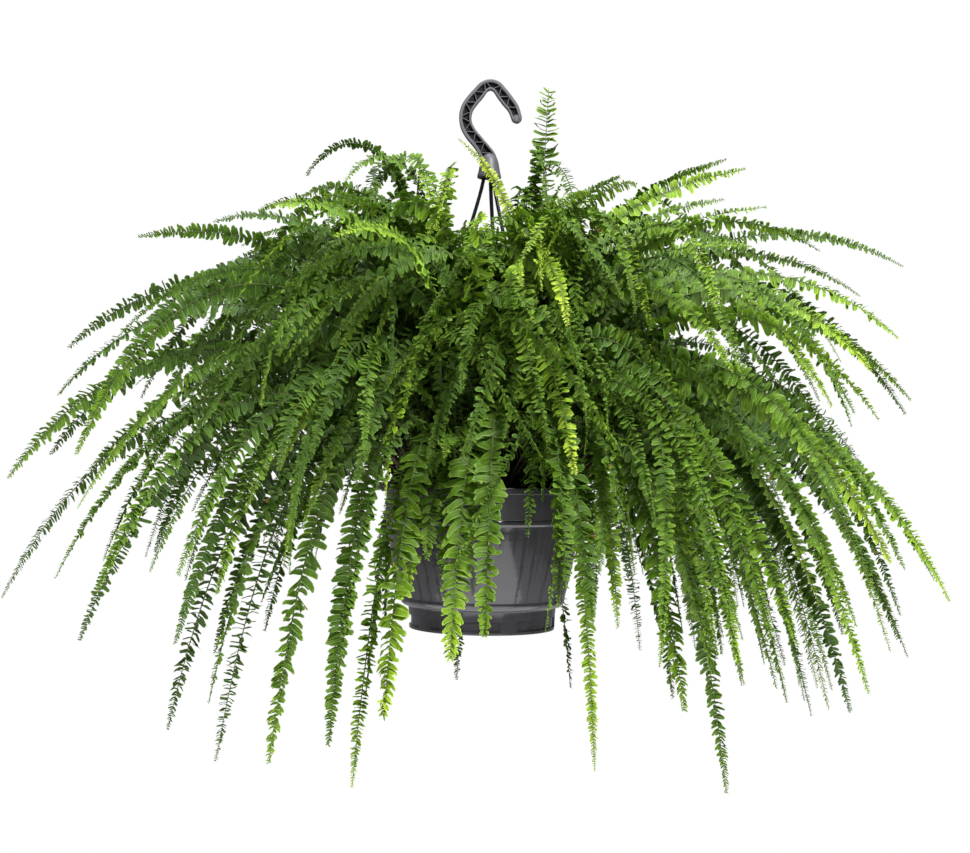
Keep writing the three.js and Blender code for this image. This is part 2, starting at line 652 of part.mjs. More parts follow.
// A straight rod as a body, for the things that no leaflet may touch: the three-sided prism round it.
function rod(from, to, radius) {
  const along = to.clone().sub(from).normalize();
  const side = new THREE.Vector3(along.y, -along.x, 0);
  if (side.lengthSq() < 1e-6) side.set(1, 0, 0);
  side.normalize().multiplyScalar(2 * radius);
  const corners = [0, 120, 240].map((degrees) => {
    return side.clone().applyAxisAngle(along, THREE.MathUtils.degToRad(degrees));
  });
  const points = [from, to].flatMap((end) => corners.map((corner) => corner.clone().add(end)));
  return prepare({ name: 'holder', points });
}

function holderBodies() {
  const collarEnds = [COLLAR_BOTTOM, COLLAR_TOP].map((z) => new THREE.Vector3(0, 0, z));
  const rods = [rod(...collarEnds, COLLAR_TOP_RADIUS)];
  const middle = HOOK_PATH.map(([x, z]) => new THREE.Vector3(x, 0, z));
  for (let index = 1; index < middle.length; index += 1) {
    rods.push(rod(middle[index - 1], middle[index], HOOK_THICKNESS / 2));
  }
  for (const degrees of STRAND_ANGLES) {
    rods.push(rod(strandPoint(degrees, COLLAR_BOTTOM), strandPoint(degrees, RIM_TOP), STRAND_RADIUS));
  }
  return rods;
}

const POT_BERTH = 2;
function inPot(point) {
  const radius = Math.hypot(point.x, point.y);
  const [mouthRadius] = POT_INSIDE.at(-1);
  if (radius > RIM_RADIUS + POT_BERTH) return false;
  return point.z < (radius > mouthRadius - POT_BERTH ? RIM_TOP : SOIL_TOP) + POT_BERTH;
}

// A leaflet that would touch another crown's fronds is left shorter, or off.
const LEAFLET_LENGTHS = [1, 0.8, 0.6];
function clearLeaflets(fronds, holders) {
  const placed = [...holders, ...fronds.flatMap((frond) => frond.ribs.map(prepare))];
  for (const leaflet of fronds.flatMap((frond) => frond.leaflets)) {
    const foot = leaflet.points[0].clone().lerp(leaflet.points[2], 0.5);
    const full = leaflet.points[4].clone();
    leaflet.kept = LEAFLET_LENGTHS.some((part) => {
      leaflet.points[4].copy(foot).lerp(full, part);
      return !leaflet.points.some(inPot) && !meets(prepare(leaflet), placed);
    });
    if (leaflet.kept) placed.push(leaflet);
  }
}

// ---------------------------------------------------------------- assembly

const crowns = plantCrowns();
placeFeatured(crowns);
leaveGapOpen(crowns);
leaveStrandsClear(crowns);
bendAside(crowns);
crowns.forEach((crown, index) => {
  crown.parts = crown.fronds.map((frond, slot) => frondParts(crown, frond, `${index}-${slot}`));
});
clearLeaflets(crowns.flatMap((crown) => crown.parts), holderBodies());

function crownSolid(crown) {
  const { x, y } = onCircle(crown.radius, crown.angle);
  const height = CROWN_DEPTH + CROWN_HEIGHT;
  const stub = new THREE.CylinderGeometry(CROWN_RADIUS * CROWN_TOP, CROWN_RADIUS, height, CROWN_SIDES);
  stub.rotateX(Math.PI / 2).translate(x, y, SOIL_TOP - CROWN_DEPTH + height / 2);
  const fronds = crown.parts.map((part) => toSolid(frondGeometry(part)));
  return toGeometry(fronds.reduce((solid, frond) => solid.add(frond), toSolid(stub)));
}

// The soil fills the grow pot, a little way in from its floor and wall.
function soil() {
  const wall = POT_INSIDE.slice(0, -1).map(([radius, height]) => [radius - FIT_GAP, height + FIT_GAP]);
  let solid = toSolid(lathe([[0, wall[0][1]], ...wall, [wall.at(-1)[0], SOIL_TOP], [0, SOIL_TOP]]));
  const holeBottom = SOIL_TOP - CROWN_DEPTH - FIT_GAP;
  for (const crown of crowns) {
    const { x, y } = onCircle(crown.radius, crown.angle);
    const hole = cylinder(CROWN_RADIUS + CROWN_HOLE_GAP, holeBottom, SOIL_TOP + 1, x, y, CROWN_SIDES);
    solid = solid.subtract(toSolid(hole));
  }
  return toGeometry(solid);
}

addPiece('hook', hook(), hookPlastic);
STRAND_ANGLES.forEach((degrees, index) => addPiece(`strand_${index + 1}`, strand(degrees), strandPlastic));
addPiece('outer_shell', outerShell(), shellPlastic);
addPiece('grow_pot', growPot(), potPlastic);
addPiece('soil', soil(), soilMatter);
crowns.forEach((crown, index) => {
  const name = `fern_crown_${String(index + 1).padStart(2, '0')}`;
  addPiece(name, crownSolid(crown), crownGreens[index % crownGreens.length]);
});

export default object;
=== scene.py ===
# %% [markdown]
# # A fern in a hanging pot
#
# A sword fern grows out of a dark plastic pot that hangs from a moulded hook on three thin strands.
# The construction model fixes where everything is: this lesson loads it first and then dresses it.
# The plastic pieces are turned or swept again with rounded edges, the soil gets its crumbs, and each
# crown of the fern gets its full fronds, with a leaflet every few millimetres on both sides of the rib.

# %% The frame
import itertools
import math

import bpy
import numpy as np
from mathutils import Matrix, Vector, noise


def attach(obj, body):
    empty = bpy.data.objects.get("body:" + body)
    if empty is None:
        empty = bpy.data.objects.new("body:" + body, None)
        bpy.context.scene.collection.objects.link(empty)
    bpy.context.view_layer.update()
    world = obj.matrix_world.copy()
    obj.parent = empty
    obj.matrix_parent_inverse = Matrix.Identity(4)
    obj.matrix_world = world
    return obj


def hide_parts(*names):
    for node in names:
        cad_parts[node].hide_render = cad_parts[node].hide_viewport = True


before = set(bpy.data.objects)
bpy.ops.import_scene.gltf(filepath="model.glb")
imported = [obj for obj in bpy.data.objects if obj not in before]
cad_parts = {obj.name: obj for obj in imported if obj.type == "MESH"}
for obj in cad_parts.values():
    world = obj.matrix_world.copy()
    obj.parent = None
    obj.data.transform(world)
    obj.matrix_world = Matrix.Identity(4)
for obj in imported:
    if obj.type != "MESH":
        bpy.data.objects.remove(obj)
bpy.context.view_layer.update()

# %% [markdown]
# ## Camera, floor and light
#
# The photograph looks straight at the middle of the plant from about two metres, with a long lens
# and a very small roll. The plant hangs in front of plain white, lit softly from above and in front,
# so the scene has a white sky, a pale floor far below and three soft lamps. The lowest lies over the
# floor as a white sheet would: it lights the hanging tips, and the glossy pot mirrors its edges.

# %% Camera
MM = 0.001
CAMERA_DISTANCE = 2.030
CAMERA_HEIGHT = -0.390
CAMERA_ROLL = math.radians(-0.957)
SENSOR_WIDTH = 36.0
PHOTO_WIDTH = 970
FOCAL_PIXELS = 1750
scene = bpy.context.scene

camera_data = bpy.data.cameras.new("camera")
camera_data.sensor_width = SENSOR_WIDTH
camera_data.lens = SENSOR_WIDTH * FOCAL_PIXELS / PHOTO_WIDTH
camera_data.clip_end = 100
camera = bpy.data.objects.new("camera", camera_data)
camera.location = (0, -CAMERA_DISTANCE, CAMERA_HEIGHT)
camera.rotation_euler = (math.radians(90), CAMERA_ROLL, 0)
scene.collection.objects.link(camera)
scene.camera = camera
scene.view_settings.view_transform = "Standard"
print("lens", round(camera_data.lens, 2), "mm")

# %% Lamps and sky
PLANT_MIDDLE = (0, 0, -0.4)
SHEET_MIDDLE = (-0.15, -1.6, -1.85)
OVER_SHEET = (-0.15, -1.6, 0)
SKY_LIGHT = 0.28
# Each lamp's place, the point it faces, its width and height in metres, and its power in watts
LAMPS = {"key_lamp": ((1.05, -2.1, 1.7), PLANT_MIDDLE, 0.6, 0.6, 192),
         "top_lamp": ((-0.3, 0.1, 2.1), PLANT_MIDDLE, 1.0, 1.0, 75),
         "white_sheet": (SHEET_MIDDLE, OVER_SHEET, 4.2, 3.6, 90)}


def add_lamp(name, place, target, width, height, power):
    """A soft lamp that faces a point and isn't itself in the picture."""
    data = bpy.data.lights.new(name, "AREA")
    data.shape = "RECTANGLE"
    data.size = width
    data.size_y = height
    data.energy = power
    lamp = bpy.data.objects.new(name, data)
    lamp.location = place
    lamp.rotation_euler = (Vector(target) - Vector(place)).to_track_quat("-Z", "Y").to_euler()
    lamp.visible_camera = False
    scene.collection.objects.link(lamp)


def build_sky():
    """White to look at, and dimmer as a source of light, so that the plant keeps its shadows."""
    world = bpy.data.worlds.new("white_sky")
    world.use_nodes = True
    tree = world.node_tree
    seen = tree.nodes.new("ShaderNodeLightPath").outputs["Is Camera Ray"]
    strength = tree.nodes.new("ShaderNodeMapRange")
    strength.inputs["To Min"].default_value = SKY_LIGHT
    tree.links.new(seen, strength.inputs["Value"])
    tree.links.new(strength.outputs["Result"], tree.nodes["Background"].inputs["Strength"])
    tree.nodes["Background"].inputs["Color"].default_value = (1, 1, 1, 1)
    return world


for name, values in LAMPS.items():
    add_lamp(name, *values)
scene.world = build_sky()
print(len(LAMPS), "lamps under a white sky")

# %% [markdown]
# ## Making meshes
#
# Every piece here is made from points and faces. Three helpers do most of the work: one turns arrays
# into a mesh, one turns a profile round the Z axis as a lathe would, and one rounds the corners of
# a profile, because moulded plastic never has a sharp edge.

# %% Mesh helpers
MOST_OF_SIDE = 0.45          # how much of a side a rounded corner may take


def make_piece(name, points, quads, triangles=(), materials=(), material_index=None, values=None,
               sharp_degrees=40):
    """A mesh object from arrays. Points are in metres; values are named numbers for each point."""
    points = np.asarray(points, float).reshape(-1, 3)
    quads = np.asarray(quads, int).reshape(-1, 4)
    triangles = np.asarray(triangles, int).reshape(-1, 3)
    mesh = bpy.data.meshes.new(name)
    mesh.vertices.add(len(points))
    mesh.vertices.foreach_set("co", points.ravel())
    corners = np.concatenate([quads.ravel(), triangles.ravel()])
    mesh.loops.add(len(corners))
    mesh.loops.foreach_set("vertex_index", corners)
    starts = np.concatenate([np.arange(len(quads)) * 4, 4 * len(quads) + np.arange(len(triangles)) * 3])
    mesh.polygons.add(len(starts))
    mesh.polygons.foreach_set("loop_start", starts)
    mesh.update(calc_edges=True)
    mesh.validate()
    for material in materials:
        mesh.materials.append(material)
    if material_index is not None:
        mesh.polygons.foreach_set("material_index", np.asarray(material_index, int))
    for label, numbers in (values or {}).items():
        numbers = np.asarray(numbers, float)
        vector = numbers.ndim == 2
        attribute = mesh.attributes.new(label, "FLOAT_VECTOR" if vector else "FLOAT", "POINT")
        attribute.data.foreach_set("vector" if vector else "value", numbers.ravel())
    mesh.shade_smooth()
    mesh.set_sharp_from_angle(angle=math.radians(sharp_degrees))
    piece = bpy.data.objects.new(name, mesh)
    scene.collection.objects.link(piece)
    return piece


def stand_in_for(piece, slot, *nodes):
    """The piece rides with the plant and hides what it replaces. The slot is not used."""
    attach(piece, "root")
    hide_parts(*nodes)


def join_parts(parts):
    """Several (points, quads, triangles) as one."""
    points, quads, triangles, start = [], [], [], 0
    for part_points, part_quads, part_triangles in parts:
        points.append(np.asarray(part_points, float).reshape(-1, 3))
        quads.append(np.asarray(part_quads, int).reshape(-1, 4) + start)
        triangles.append(np.asarray(part_triangles, int).reshape(-1, 3) + start)
        start += len(points[-1])
    return np.concatenate(points), np.concatenate(quads), np.concatenate(triangles)


def round_corners(profile, radius, steps=4):
    """The profile with each inner corner replaced by a short curve."""
    points = [np.array(point, float) for point in profile]
    result = [points[0]]
    for before, corner, after in zip(points, points[1:], points[2:]):
        cuts = []
        for other in (before, after):
            gap = other - corner
            length = np.linalg.norm(gap)
            cuts.append(corner + gap / length * min(radius, MOST_OF_SIDE * length))
        for step in range(steps + 1):
            t = step / steps
            result.append((1 - t) ** 2 * cuts[0] + 2 * t * (1 - t) * corner + t * t * cuts[1])
    return result + [points[-1]]


def turned(profile, sides, shape=None):
    """A profile of (radius, height) in millimetres from the axis to the axis, turned round Z.
    shape(radius, height, angle) may change the radius."""
    angles = np.linspace(0, 2 * math.pi, sides, endpoint=False)
    inner = profile[1:-1]
    rows = []
    for radius, height in inner:
        radii = np.full(sides, radius) if shape is None else shape(radius, height, angles)
        rows.append(np.stack([radii * np.cos(angles), radii * np.sin(angles), np.full(sides, height)], 1))
    points = np.concatenate([*rows, [[0, 0, profile[0][1]], [0, 0, profile[-1][1]]]]) * MM
    side = np.arange(sides)
    following = (side + 1) % sides
    quads = []
    for row in range(len(inner) - 1):
        low, high = row * sides, (row + 1) * sides
        quads.append(np.stack([low + side, low + following, high + following, high + side], 1))
    first, last = len(points) - 2, len(points) - 1
    top = (len(inner) - 1) * sides
    fans = [np.stack([np.full(sides, first), following, side], 1),
            np.stack([np.full(sides, last), top + side, top + following], 1)]
    return points, np.concatenate(quads), np.concatenate(fans)


print("mesh helpers ready")

# %% [markdown]
# ## Building materials from nodes
#
# A material is a small network. Two effects come up again and again here, so each is a node group
# with its own named inputs. "Moulded skin" is what all the plastic shares: a fine grain, colour that
# drifts a little, scuffs, dust where a face looks up, and painted shade that darkens a piece where
# it is given, as in the hook's pockets. "Living patches" is what leaves, stems and
# soil share: a second colour that comes and goes in soft patches, with fine speckles on top.

# %% Node helpers
MIX_FACTOR, MIX_FIRST, MIX_SECOND, MIX_RESULT = 0, 6, 7, 2       # a Mix node's sockets for colours


def add_node(tree, kind, inputs=None, **settings):
    """A node whose inputs are set to values, or joined to other nodes' outputs."""
    made = tree.nodes.new(kind)
    for key, value in settings.items():
        setattr(made, key, value)
    for key, value in (inputs or {}).items():
        if isinstance(value, bpy.types.NodeSocket):
            tree.links.new(value, made.inputs[key])
        else:
            made.inputs[key].default_value = value
    return made


def sum_up(tree, operation, *values, clamp=False):
    """The result of a Math node."""
    made = add_node(tree, "ShaderNodeMath", dict(enumerate(values)), operation=operation, use_clamp=clamp)
    return made.outputs[0]


def blend_colours(tree, factor, first, second, blend_type="MIX"):
    """The result of mixing two colours."""
    inputs = {MIX_FACTOR: factor, MIX_FIRST: first, MIX_SECOND: second}
    made = add_node(tree, "ShaderNodeMix", inputs, data_type="RGBA", blend_type=blend_type)
    return made.outputs[MIX_RESULT]


def remap(tree, value, low, high, to_low=0.0, to_high=1.0):
    """value between low and high, spread from to_low to to_high."""
    inputs = {"Value": value, "From Min": low, "From Max": high, "To Min": to_low, "To Max": to_high}
    return add_node(tree, "ShaderNodeMapRange", inputs, interpolation_type="SMOOTHSTEP").outputs[0]


def soft_noise(tree, place, scale, detail):
    """The value of a noise texture."""
    inputs = {"Vector": place, "Scale": scale, "Detail": detail}
    return add_node(tree, "ShaderNodeTexNoise", inputs).outputs[0]


def bumpy(tree, height, strength, distance):
    """The normal of a surface raised by height, by up to distance in metres."""
    inputs = {"Height": height, "Strength": strength, "Distance": distance}
    return add_node(tree, "ShaderNodeBump", inputs).outputs["Normal"]


def carried(tree, name, output="Fac"):
    """A value that the points of the mesh carry."""
    return add_node(tree, "ShaderNodeAttribute", attribute_name=name).outputs[output]


def ramp(tree, factor, stops):
    """A colour ramp with (place, colour) stops."""
    made = add_node(tree, "ShaderNodeValToRGB", {"Fac": factor})
    elements = made.color_ramp.elements
    while len(elements) < len(stops):
        elements.new(0.5)
    for element, (place, colour) in zip(elements, stops):
        element.position = place
        element.color = (*colour, 1)
    return made.outputs["Color"]


def start_group(name, inputs, outputs):
    """An empty node group with named sockets: its tree, what it is given and what it results in."""
    tree = bpy.data.node_groups.new(name, "ShaderNodeTree")
    for label, (kind, value) in inputs.items():
        socket = tree.interface.new_socket(label, in_out="INPUT", socket_type="NodeSocket" + kind)
        socket.default_value = value
    for label, kind in outputs.items():
        tree.interface.new_socket(label, in_out="OUTPUT", socket_type="NodeSocket" + kind)
    return tree, tree.nodes.new("NodeGroupInput").outputs, tree.nodes.new("NodeGroupOutput").inputs


def start_material(name):
    """A new material, its tree and its Principled BSDF."""
    material = bpy.data.materials.new(name)
    material.use_nodes = True
    return material, material.node_tree, material.node_tree.nodes["Principled BSDF"]


def finish_surface(tree, surface, colour, roughness, normal, specular=0.5):
    """Joins what the other nodes result in to the Principled BSDF."""
    for label, socket in (("Base Color", colour), ("Roughness", roughness), ("Normal", normal)):
        tree.links.new(socket, surface.inputs[label])
    surface.inputs["Specular IOR Level"].default_value = specular


print("node helpers ready")

# %% Moulded skin
DUST = (0.42, 0.40, 0.36, 1)
# near-black colour of the painted shade in deep hollows
PAINTED_SHADE_COLOUR = (0.004, 0.004, 0.005, 1)
SKIN_VALUES = ("Colour", "Worn Colour", "Grain Scale", "Grain Depth", "Smoothest", "Roughest", "Dust")
STREAK_SCALE = (90, 90, 14)        # the scuffs are drawn out along the height


def build_moulded_skin():
    tree, given, result = start_group(
        "moulded_skin",
        {"Colour": ("Color", (0.05, 0.05, 0.05, 1)), "Worn Colour": ("Color", (0.1, 0.1, 0.1, 1)),
         "Grain Scale": ("Float", 900.0), "Grain Depth": ("Float", 0.15),
         "Smoothest": ("Float", 0.2), "Roughest": ("Float", 0.4), "Dust": ("Float", 0.1),
         "Painted Shade": ("Float", 0.0)},
        {"Colour": "Color", "Roughness": "Float", "Normal": "Vector"})
    place = add_node(tree, "ShaderNodeTexCoord").outputs["Object"]
    cloud = soft_noise(tree, place, 14.0, 4.0)
    grain = soft_noise(tree, place, given["Grain Scale"], 3.0)
    stretched = add_node(tree, "ShaderNodeMapping", {"Vector": place, "Scale": STREAK_SCALE}).outputs[0]
    scuff = remap(tree, soft_noise(tree, stretched, 1.0, 3.0), 0.5, 0.8)
    face = add_node(tree, "ShaderNodeNewGeometry").outputs["Normal"]
    upward = add_node(tree, "ShaderNodeSeparateXYZ", {"Vector": face}).outputs["Z"]
    dusty = sum_up(tree, "MULTIPLY", remap(tree, upward, 0.2, 1.0), remap(tree, cloud, 0.3, 0.7))
    dusty = sum_up(tree, "MULTIPLY", dusty, given["Dust"], clamp=True)
    worn = sum_up(tree, "MULTIPLY_ADD", scuff, 0.3, remap(tree, cloud, 0.3, 0.75, 0.0, 0.45))
    colour = blend_colours(tree, worn, given["Colour"], given["Worn Colour"])
    colour = blend_colours(tree, dusty, colour, DUST)
    # painted shade: where the mask given to the skin is 1, the colour is darkened to near-black; the same
    # mask makes the surface rougher
    colour = blend_colours(tree, given["Painted Shade"], colour, PAINTED_SHADE_COLOUR)
    span = sum_up(tree, "SUBTRACT", given["Roughest"], given["Smoothest"])
    rough = sum_up(tree, "MULTIPLY_ADD", cloud, span, given["Smoothest"])
    rough = sum_up(tree, "MULTIPLY_ADD", scuff, 0.08, rough)
    rough = sum_up(tree, "MULTIPLY_ADD", given["Painted Shade"], 0.5, rough)
    rough = sum_up(tree, "MULTIPLY_ADD", dusty, 0.4, rough, clamp=True)
    grained = bumpy(tree, grain, given["Grain Depth"], 0.0002)
    for label, socket in (("Colour", colour), ("Roughness", rough), ("Normal", grained)):
        tree.links.new(socket, result[label])
    return tree


moulded_skin = build_moulded_skin()


def plastic(name, *values, specular=0.5):
    """A moulded plastic with its own values for the shared skin."""
    material, tree, surface = start_material(name)
    skin = add_node(tree, "ShaderNodeGroup", dict(zip(SKIN_VALUES, values)), node_tree=moulded_skin)
    finish_surface(tree, surface, *skin.outputs, specular)
    return material


SHELL_GREY, SHELL_WORN = (0.026, 0.024, 0.029, 1), (0.034, 0.032, 0.037, 1)
POT_GREY, POT_WORN = (0.016, 0.015, 0.018, 1), (0.026, 0.025, 0.027, 1)
HOOK_GREY, HOOK_WORN = (0.064, 0.064, 0.074, 1), (0.105, 0.105, 0.115, 1)
STRAND_BLACK, STRAND_WORN = (0.005, 0.005, 0.006, 1), (0.020, 0.020, 0.020, 1)
shell_plastic = plastic("shell_plastic", SHELL_GREY, SHELL_WORN, 1400.0, 0.03, 0.06, 0.13, 0.06)
pot_plastic = plastic("pot_plastic", POT_GREY, POT_WORN, 1100.0, 0.12, 0.28, 0.46, 0.35)
hook_plastic = plastic("hook_plastic", HOOK_GREY, HOOK_WORN, 1300.0, 0.04, 0.44, 0.56, 0.05)
hook_tree = hook_plastic.node_tree
# painted shade on the web in the hook's pockets, from the mask that the hook's points carry
hook_tree.links.new(carried(hook_tree, "pocket_shade"), hook_tree.nodes["Group"].inputs["Painted Shade"])
strand_plastic = plastic("strand_plastic", STRAND_BLACK, STRAND_WORN, 900.0, 0.08, 0.20, 0.30, 0.0,
                         specular=0.25)
print("plastics:", shell_plastic.name, pot_plastic.name, hook_plastic.name, strand_plastic.name)

# %% Living patches
WHITE = (1, 1, 1, 1)
PATCH_VALUES = ("Colour", "Patch Colour", "Patch Scale", "Patch Amount", "Speckle Scale", "Speckle")


def build_living_patches():
    tree, given, result = start_group(
        "living_patches",
        {"Colour": ("Color", (0.1, 0.2, 0.02, 1)), "Patch Colour": ("Color", (0.2, 0.3, 0.03, 1)),
         "Patch Scale": ("Float", 30.0), "Patch Amount": ("Float", 0.5),
         "Speckle Scale": ("Float", 900.0), "Speckle": ("Float", 0.15)},
        {"Colour": "Color", "Height": "Float"})
    place = add_node(tree, "ShaderNodeTexCoord").outputs["Object"]
    patches = soft_noise(tree, place, given["Patch Scale"], 3.0)
    speckles = soft_noise(tree, place, given["Speckle Scale"], 2.0)
    share = sum_up(tree, "MULTIPLY", remap(tree, patches, 0.35, 0.7), given["Patch Amount"])
    colour = blend_colours(tree, share, given["Colour"], given["Patch Colour"])
    shade = remap(tree, speckles, 0.3, 0.7, 0.4, 1.6)
    dark_and_light = blend_colours(tree, given["Speckle"], WHITE, shade)
    tree.links.new(blend_colours(tree, 1.0, colour, dark_and_light, "MULTIPLY"), result["Colour"])
    tree.links.new(speckles, result["Height"])
    return tree


living_patches = build_living_patches()


def add_patches(tree, *values):
    """The shared patches in a material: their colour and height sockets."""
    made = add_node(tree, "ShaderNodeGroup", dict(zip(PATCH_VALUES, values)), node_tree=living_patches)
    return made.outputs


print("shared groups:", [group.name for group in bpy.data.node_groups])

# %% [markdown]
# ## Floor
#
# The pot hangs from a rail, so the floor is far below it. It is a wide pale disc, and nothing of it
# belongs to the object.

# %% Floor
FLOOR_HEIGHT = -1900
FLOOR_RADIUS = 3900
FLOOR_THICKNESS = 20
floor_profile = [(0, FLOOR_HEIGHT - FLOOR_THICKNESS), (FLOOR_RADIUS, FLOOR_HEIGHT - FLOOR_THICKNESS),
                 (FLOOR_RADIUS, FLOOR_HEIGHT), (0, FLOOR_HEIGHT)]
floor_material, _, floor_surface = start_material("pale_floor")
floor_surface.inputs["Base Color"].default_value = (0.92, 0.92, 0.92, 1)
floor_surface.inputs["Roughness"].default_value = 0.9
floor = make_piece("floor", *turned(floor_profile, sides=96), materials=[floor_material])
print("floor at", FLOOR_HEIGHT * MM, "m")

# %% [markdown]
# ## The outer shell
#
# The shell is a blow-moulded water holder: a tapering wall, a rounded lower edge, and a foot set in
# below it with long shallow recesses round its face. It is a turned profile, with the recesses made
# by pulling the foot's face in over part of each turn.

# %% Outer shell
LIP_TOP = -493.6
LIP_HEIGHT = 4.5
LIP_INSIDE, LIP_OUTSIDE = 111, 113.5
WALL_TOP = (112.1, LIP_TOP - 6.5)
WALL_BULGE = 1.4          # outwards, half-way up the wall
WALL_STEPS = 11
EDGE_CENTRE = (86.5, -588.0)
EDGE_RADIUS = 9.0
EDGE_TURN = 99            # degrees, from the foot up to the wall
EDGE_STEPS = 8
LEDGE = (93.2, -586)
SHELL_FLOOR = -594.5
FOOT_TOP = -597.0
FOOT_BOTTOM = -623.0
FOOT_INSIDE = 80.5
FOOT_FACE_FROM = 83.5     # what is further out belongs to the foot's face
RECESS_COUNT = 5
RECESS_SPAN = 59.0        # degrees of the turn
RECESS_START = -62.4
RECESS_SLOPE = 1.5        # degrees over which its ends slope
RECESS_DEPTH = 2.4
RECESS_BOTTOM, RECESS_TOP = -619.5, -607.5


def foot_recess(radius, height, angles):
    """Pulls the foot's outer face in, inside the recesses."""
    radii = np.full(len(angles), float(radius))
    if radius > FOOT_FACE_FROM and RECESS_BOTTOM < height < RECESS_TOP:
        turn = (np.degrees(angles) - RECESS_START) % (360 / RECESS_COUNT)
        radii -= RECESS_DEPTH * np.clip(np.minimum(turn, RECESS_SPAN - turn) / RECESS_SLOPE, 0, 1)
    return radii


def shell_profile():
    foot = [(0, FOOT_TOP), (82, FOOT_TOP), (FOOT_INSIDE, FOOT_BOTTOM), (84, FOOT_BOTTOM),
            (84.2, RECESS_BOTTOM - 0.5), (84.25, RECESS_BOTTOM + 0.3), (84.6, RECESS_TOP - 0.3),
            (84.7, RECESS_TOP + 0.5), (85.5, FOOT_TOP)]
    edge = []
    for angle in np.radians(90 - np.linspace(0, EDGE_TURN, EDGE_STEPS + 1)):
        edge.append((EDGE_CENTRE[0] + EDGE_RADIUS * math.cos(angle),
                     EDGE_CENTRE[1] - EDGE_RADIUS * math.sin(angle)))
    wall = []
    for part in np.linspace(0, 1, WALL_STEPS + 1)[1:-1]:
        radius, height = (low + (high - low) * part for low, high in zip(edge[-1], WALL_TOP))
        wall.append((radius + WALL_BULGE * 4 * part * (1 - part), height))
    lip = [WALL_TOP, (LIP_OUTSIDE, LIP_TOP - LIP_HEIGHT), (LIP_OUTSIDE, LIP_TOP), (LIP_INSIDE, LIP_TOP)]
    return [*foot, *edge, *wall, *lip, LEDGE, (84, SHELL_FLOOR), (0, SHELL_FLOOR)]


shell_outline = round_corners(shell_profile(), radius=0.7, steps=3)
shell = make_piece("outer_shell_turned", *turned(shell_outline, sides=360, shape=foot_recess),
                   materials=[shell_plastic], sharp_degrees=35)
stand_in_for(shell, "shell_plastic", "outer_shell")
print("shell", len(shell.data.polygons), "faces")

# %% [markdown]
# ## The grow pot
#
# The grow pot sits in the shell on its ledge. Its upper band and its turned-out rim show above the
# lip. The rim has a hole for each strand and the floor has drain holes; they are cut with one
# boolean from a joined set of pegs.

# %% Grow pot
RIM_TOP = -457.0
RIM_UNDERSIDE = RIM_TOP - 3.0
RIM_EDGE_BOTTOM = RIM_TOP - 7.0
RIM_RADIUS = 125.0
RIM_EDGE_INSIDE = 123.0
POT_MOUTH = 111.0
POT_BAND = 113.0             # radius of the band that shows above the shell
POT_LEDGE = LIP_TOP + 0.4
POT_FLOOR_BOTTOM, POT_FLOOR_TOP = -585.0, -582.5
STRAND_ANGLES = (196, 316, 76)
STRAND_CIRCLE = 118.0
RIM_HOLE_RADIUS = 3.1
DRAIN_HOLES = 5
DRAIN_CIRCLE = 60.0
DRAIN_RADIUS = 4.5
PEG_EXCESS = 5.0             # how far the pegs reach past what they cut


def on_circle(radius, degrees, height=0.0):
    """A point in millimetres on a circle round the pot's axis."""
    angle = math.radians(degrees)
    return np.array([radius * math.cos(angle), radius * math.sin(angle), height])


def peg(radius, bottom, top, centre, sides=24):
    """An upright peg to cut a hole with."""
    points, quads, triangles = turned([(0, bottom), (radius, bottom), (radius, top), (0, top)], sides)
    return points + np.array([centre[0], centre[1], 0]) * MM, quads, triangles


def cut_away(piece, pegs):
    """Cuts the pegs out of the piece and leaves no modifier on it."""
    cutter = make_piece("cutter", *join_parts(pegs))
    cutting = piece.modifiers.new("holes", "BOOLEAN")
    cutting.operation = "DIFFERENCE"
    cutting.solver = "EXACT"
    cutting.object = cutter
    bpy.context.view_layer.update()
    evaluated = piece.evaluated_get(bpy.context.evaluated_depsgraph_get())
    mesh = bpy.data.meshes.new_from_object(evaluated)
    piece.modifiers.clear()
    piece.data = mesh
    bpy.data.objects.remove(cutter)


pot_profile = [
    (0, POT_FLOOR_BOTTOM), (90.6, POT_FLOOR_BOTTOM), (109.9, POT_LEDGE), (POT_BAND, POT_LEDGE),
    (POT_BAND, RIM_UNDERSIDE), (RIM_EDGE_INSIDE, RIM_UNDERSIDE), (RIM_EDGE_INSIDE, RIM_EDGE_BOTTOM),
    (RIM_RADIUS, RIM_EDGE_BOTTOM), (RIM_RADIUS, RIM_TOP), (POT_MOUTH, RIM_TOP),
    (110.8, POT_LEDGE + 1), (107.8, POT_LEDGE - 1.5), (88.8, POT_FLOOR_TOP), (0, POT_FLOOR_TOP)]
pot_outline = round_corners(pot_profile, radius=0.8, steps=3)
pot = make_piece("grow_pot_turned", *turned(pot_outline, sides=180), materials=[pot_plastic],
                 sharp_degrees=35)
holes = [peg(RIM_HOLE_RADIUS, RIM_TOP - PEG_EXCESS, RIM_TOP + PEG_EXCESS, on_circle(STRAND_CIRCLE, turn))
         for turn in STRAND_ANGLES]
holes += [peg(DRAIN_RADIUS, POT_FLOOR_BOTTOM - PEG_EXCESS, POT_FLOOR_BOTTOM + 2 * PEG_EXCESS,
              on_circle(DRAIN_CIRCLE, index * 360 / DRAIN_HOLES)) for index in range(DRAIN_HOLES)]
cut_away(pot, holes)
stand_in_for(pot, "pot_plastic", "grow_pot")
print("pot", len(pot.data.polygons), "faces")

# %% [markdown]
# ## The hook
#
# The hook is one moulding: a strap in the shape of a question mark with a rim along each edge and
# a zigzag of struts between them, and a flared collar that holds the strands. The strap is an
# H-shaped section swept along a smooth path. Near the collar and at the tip the channel closes.

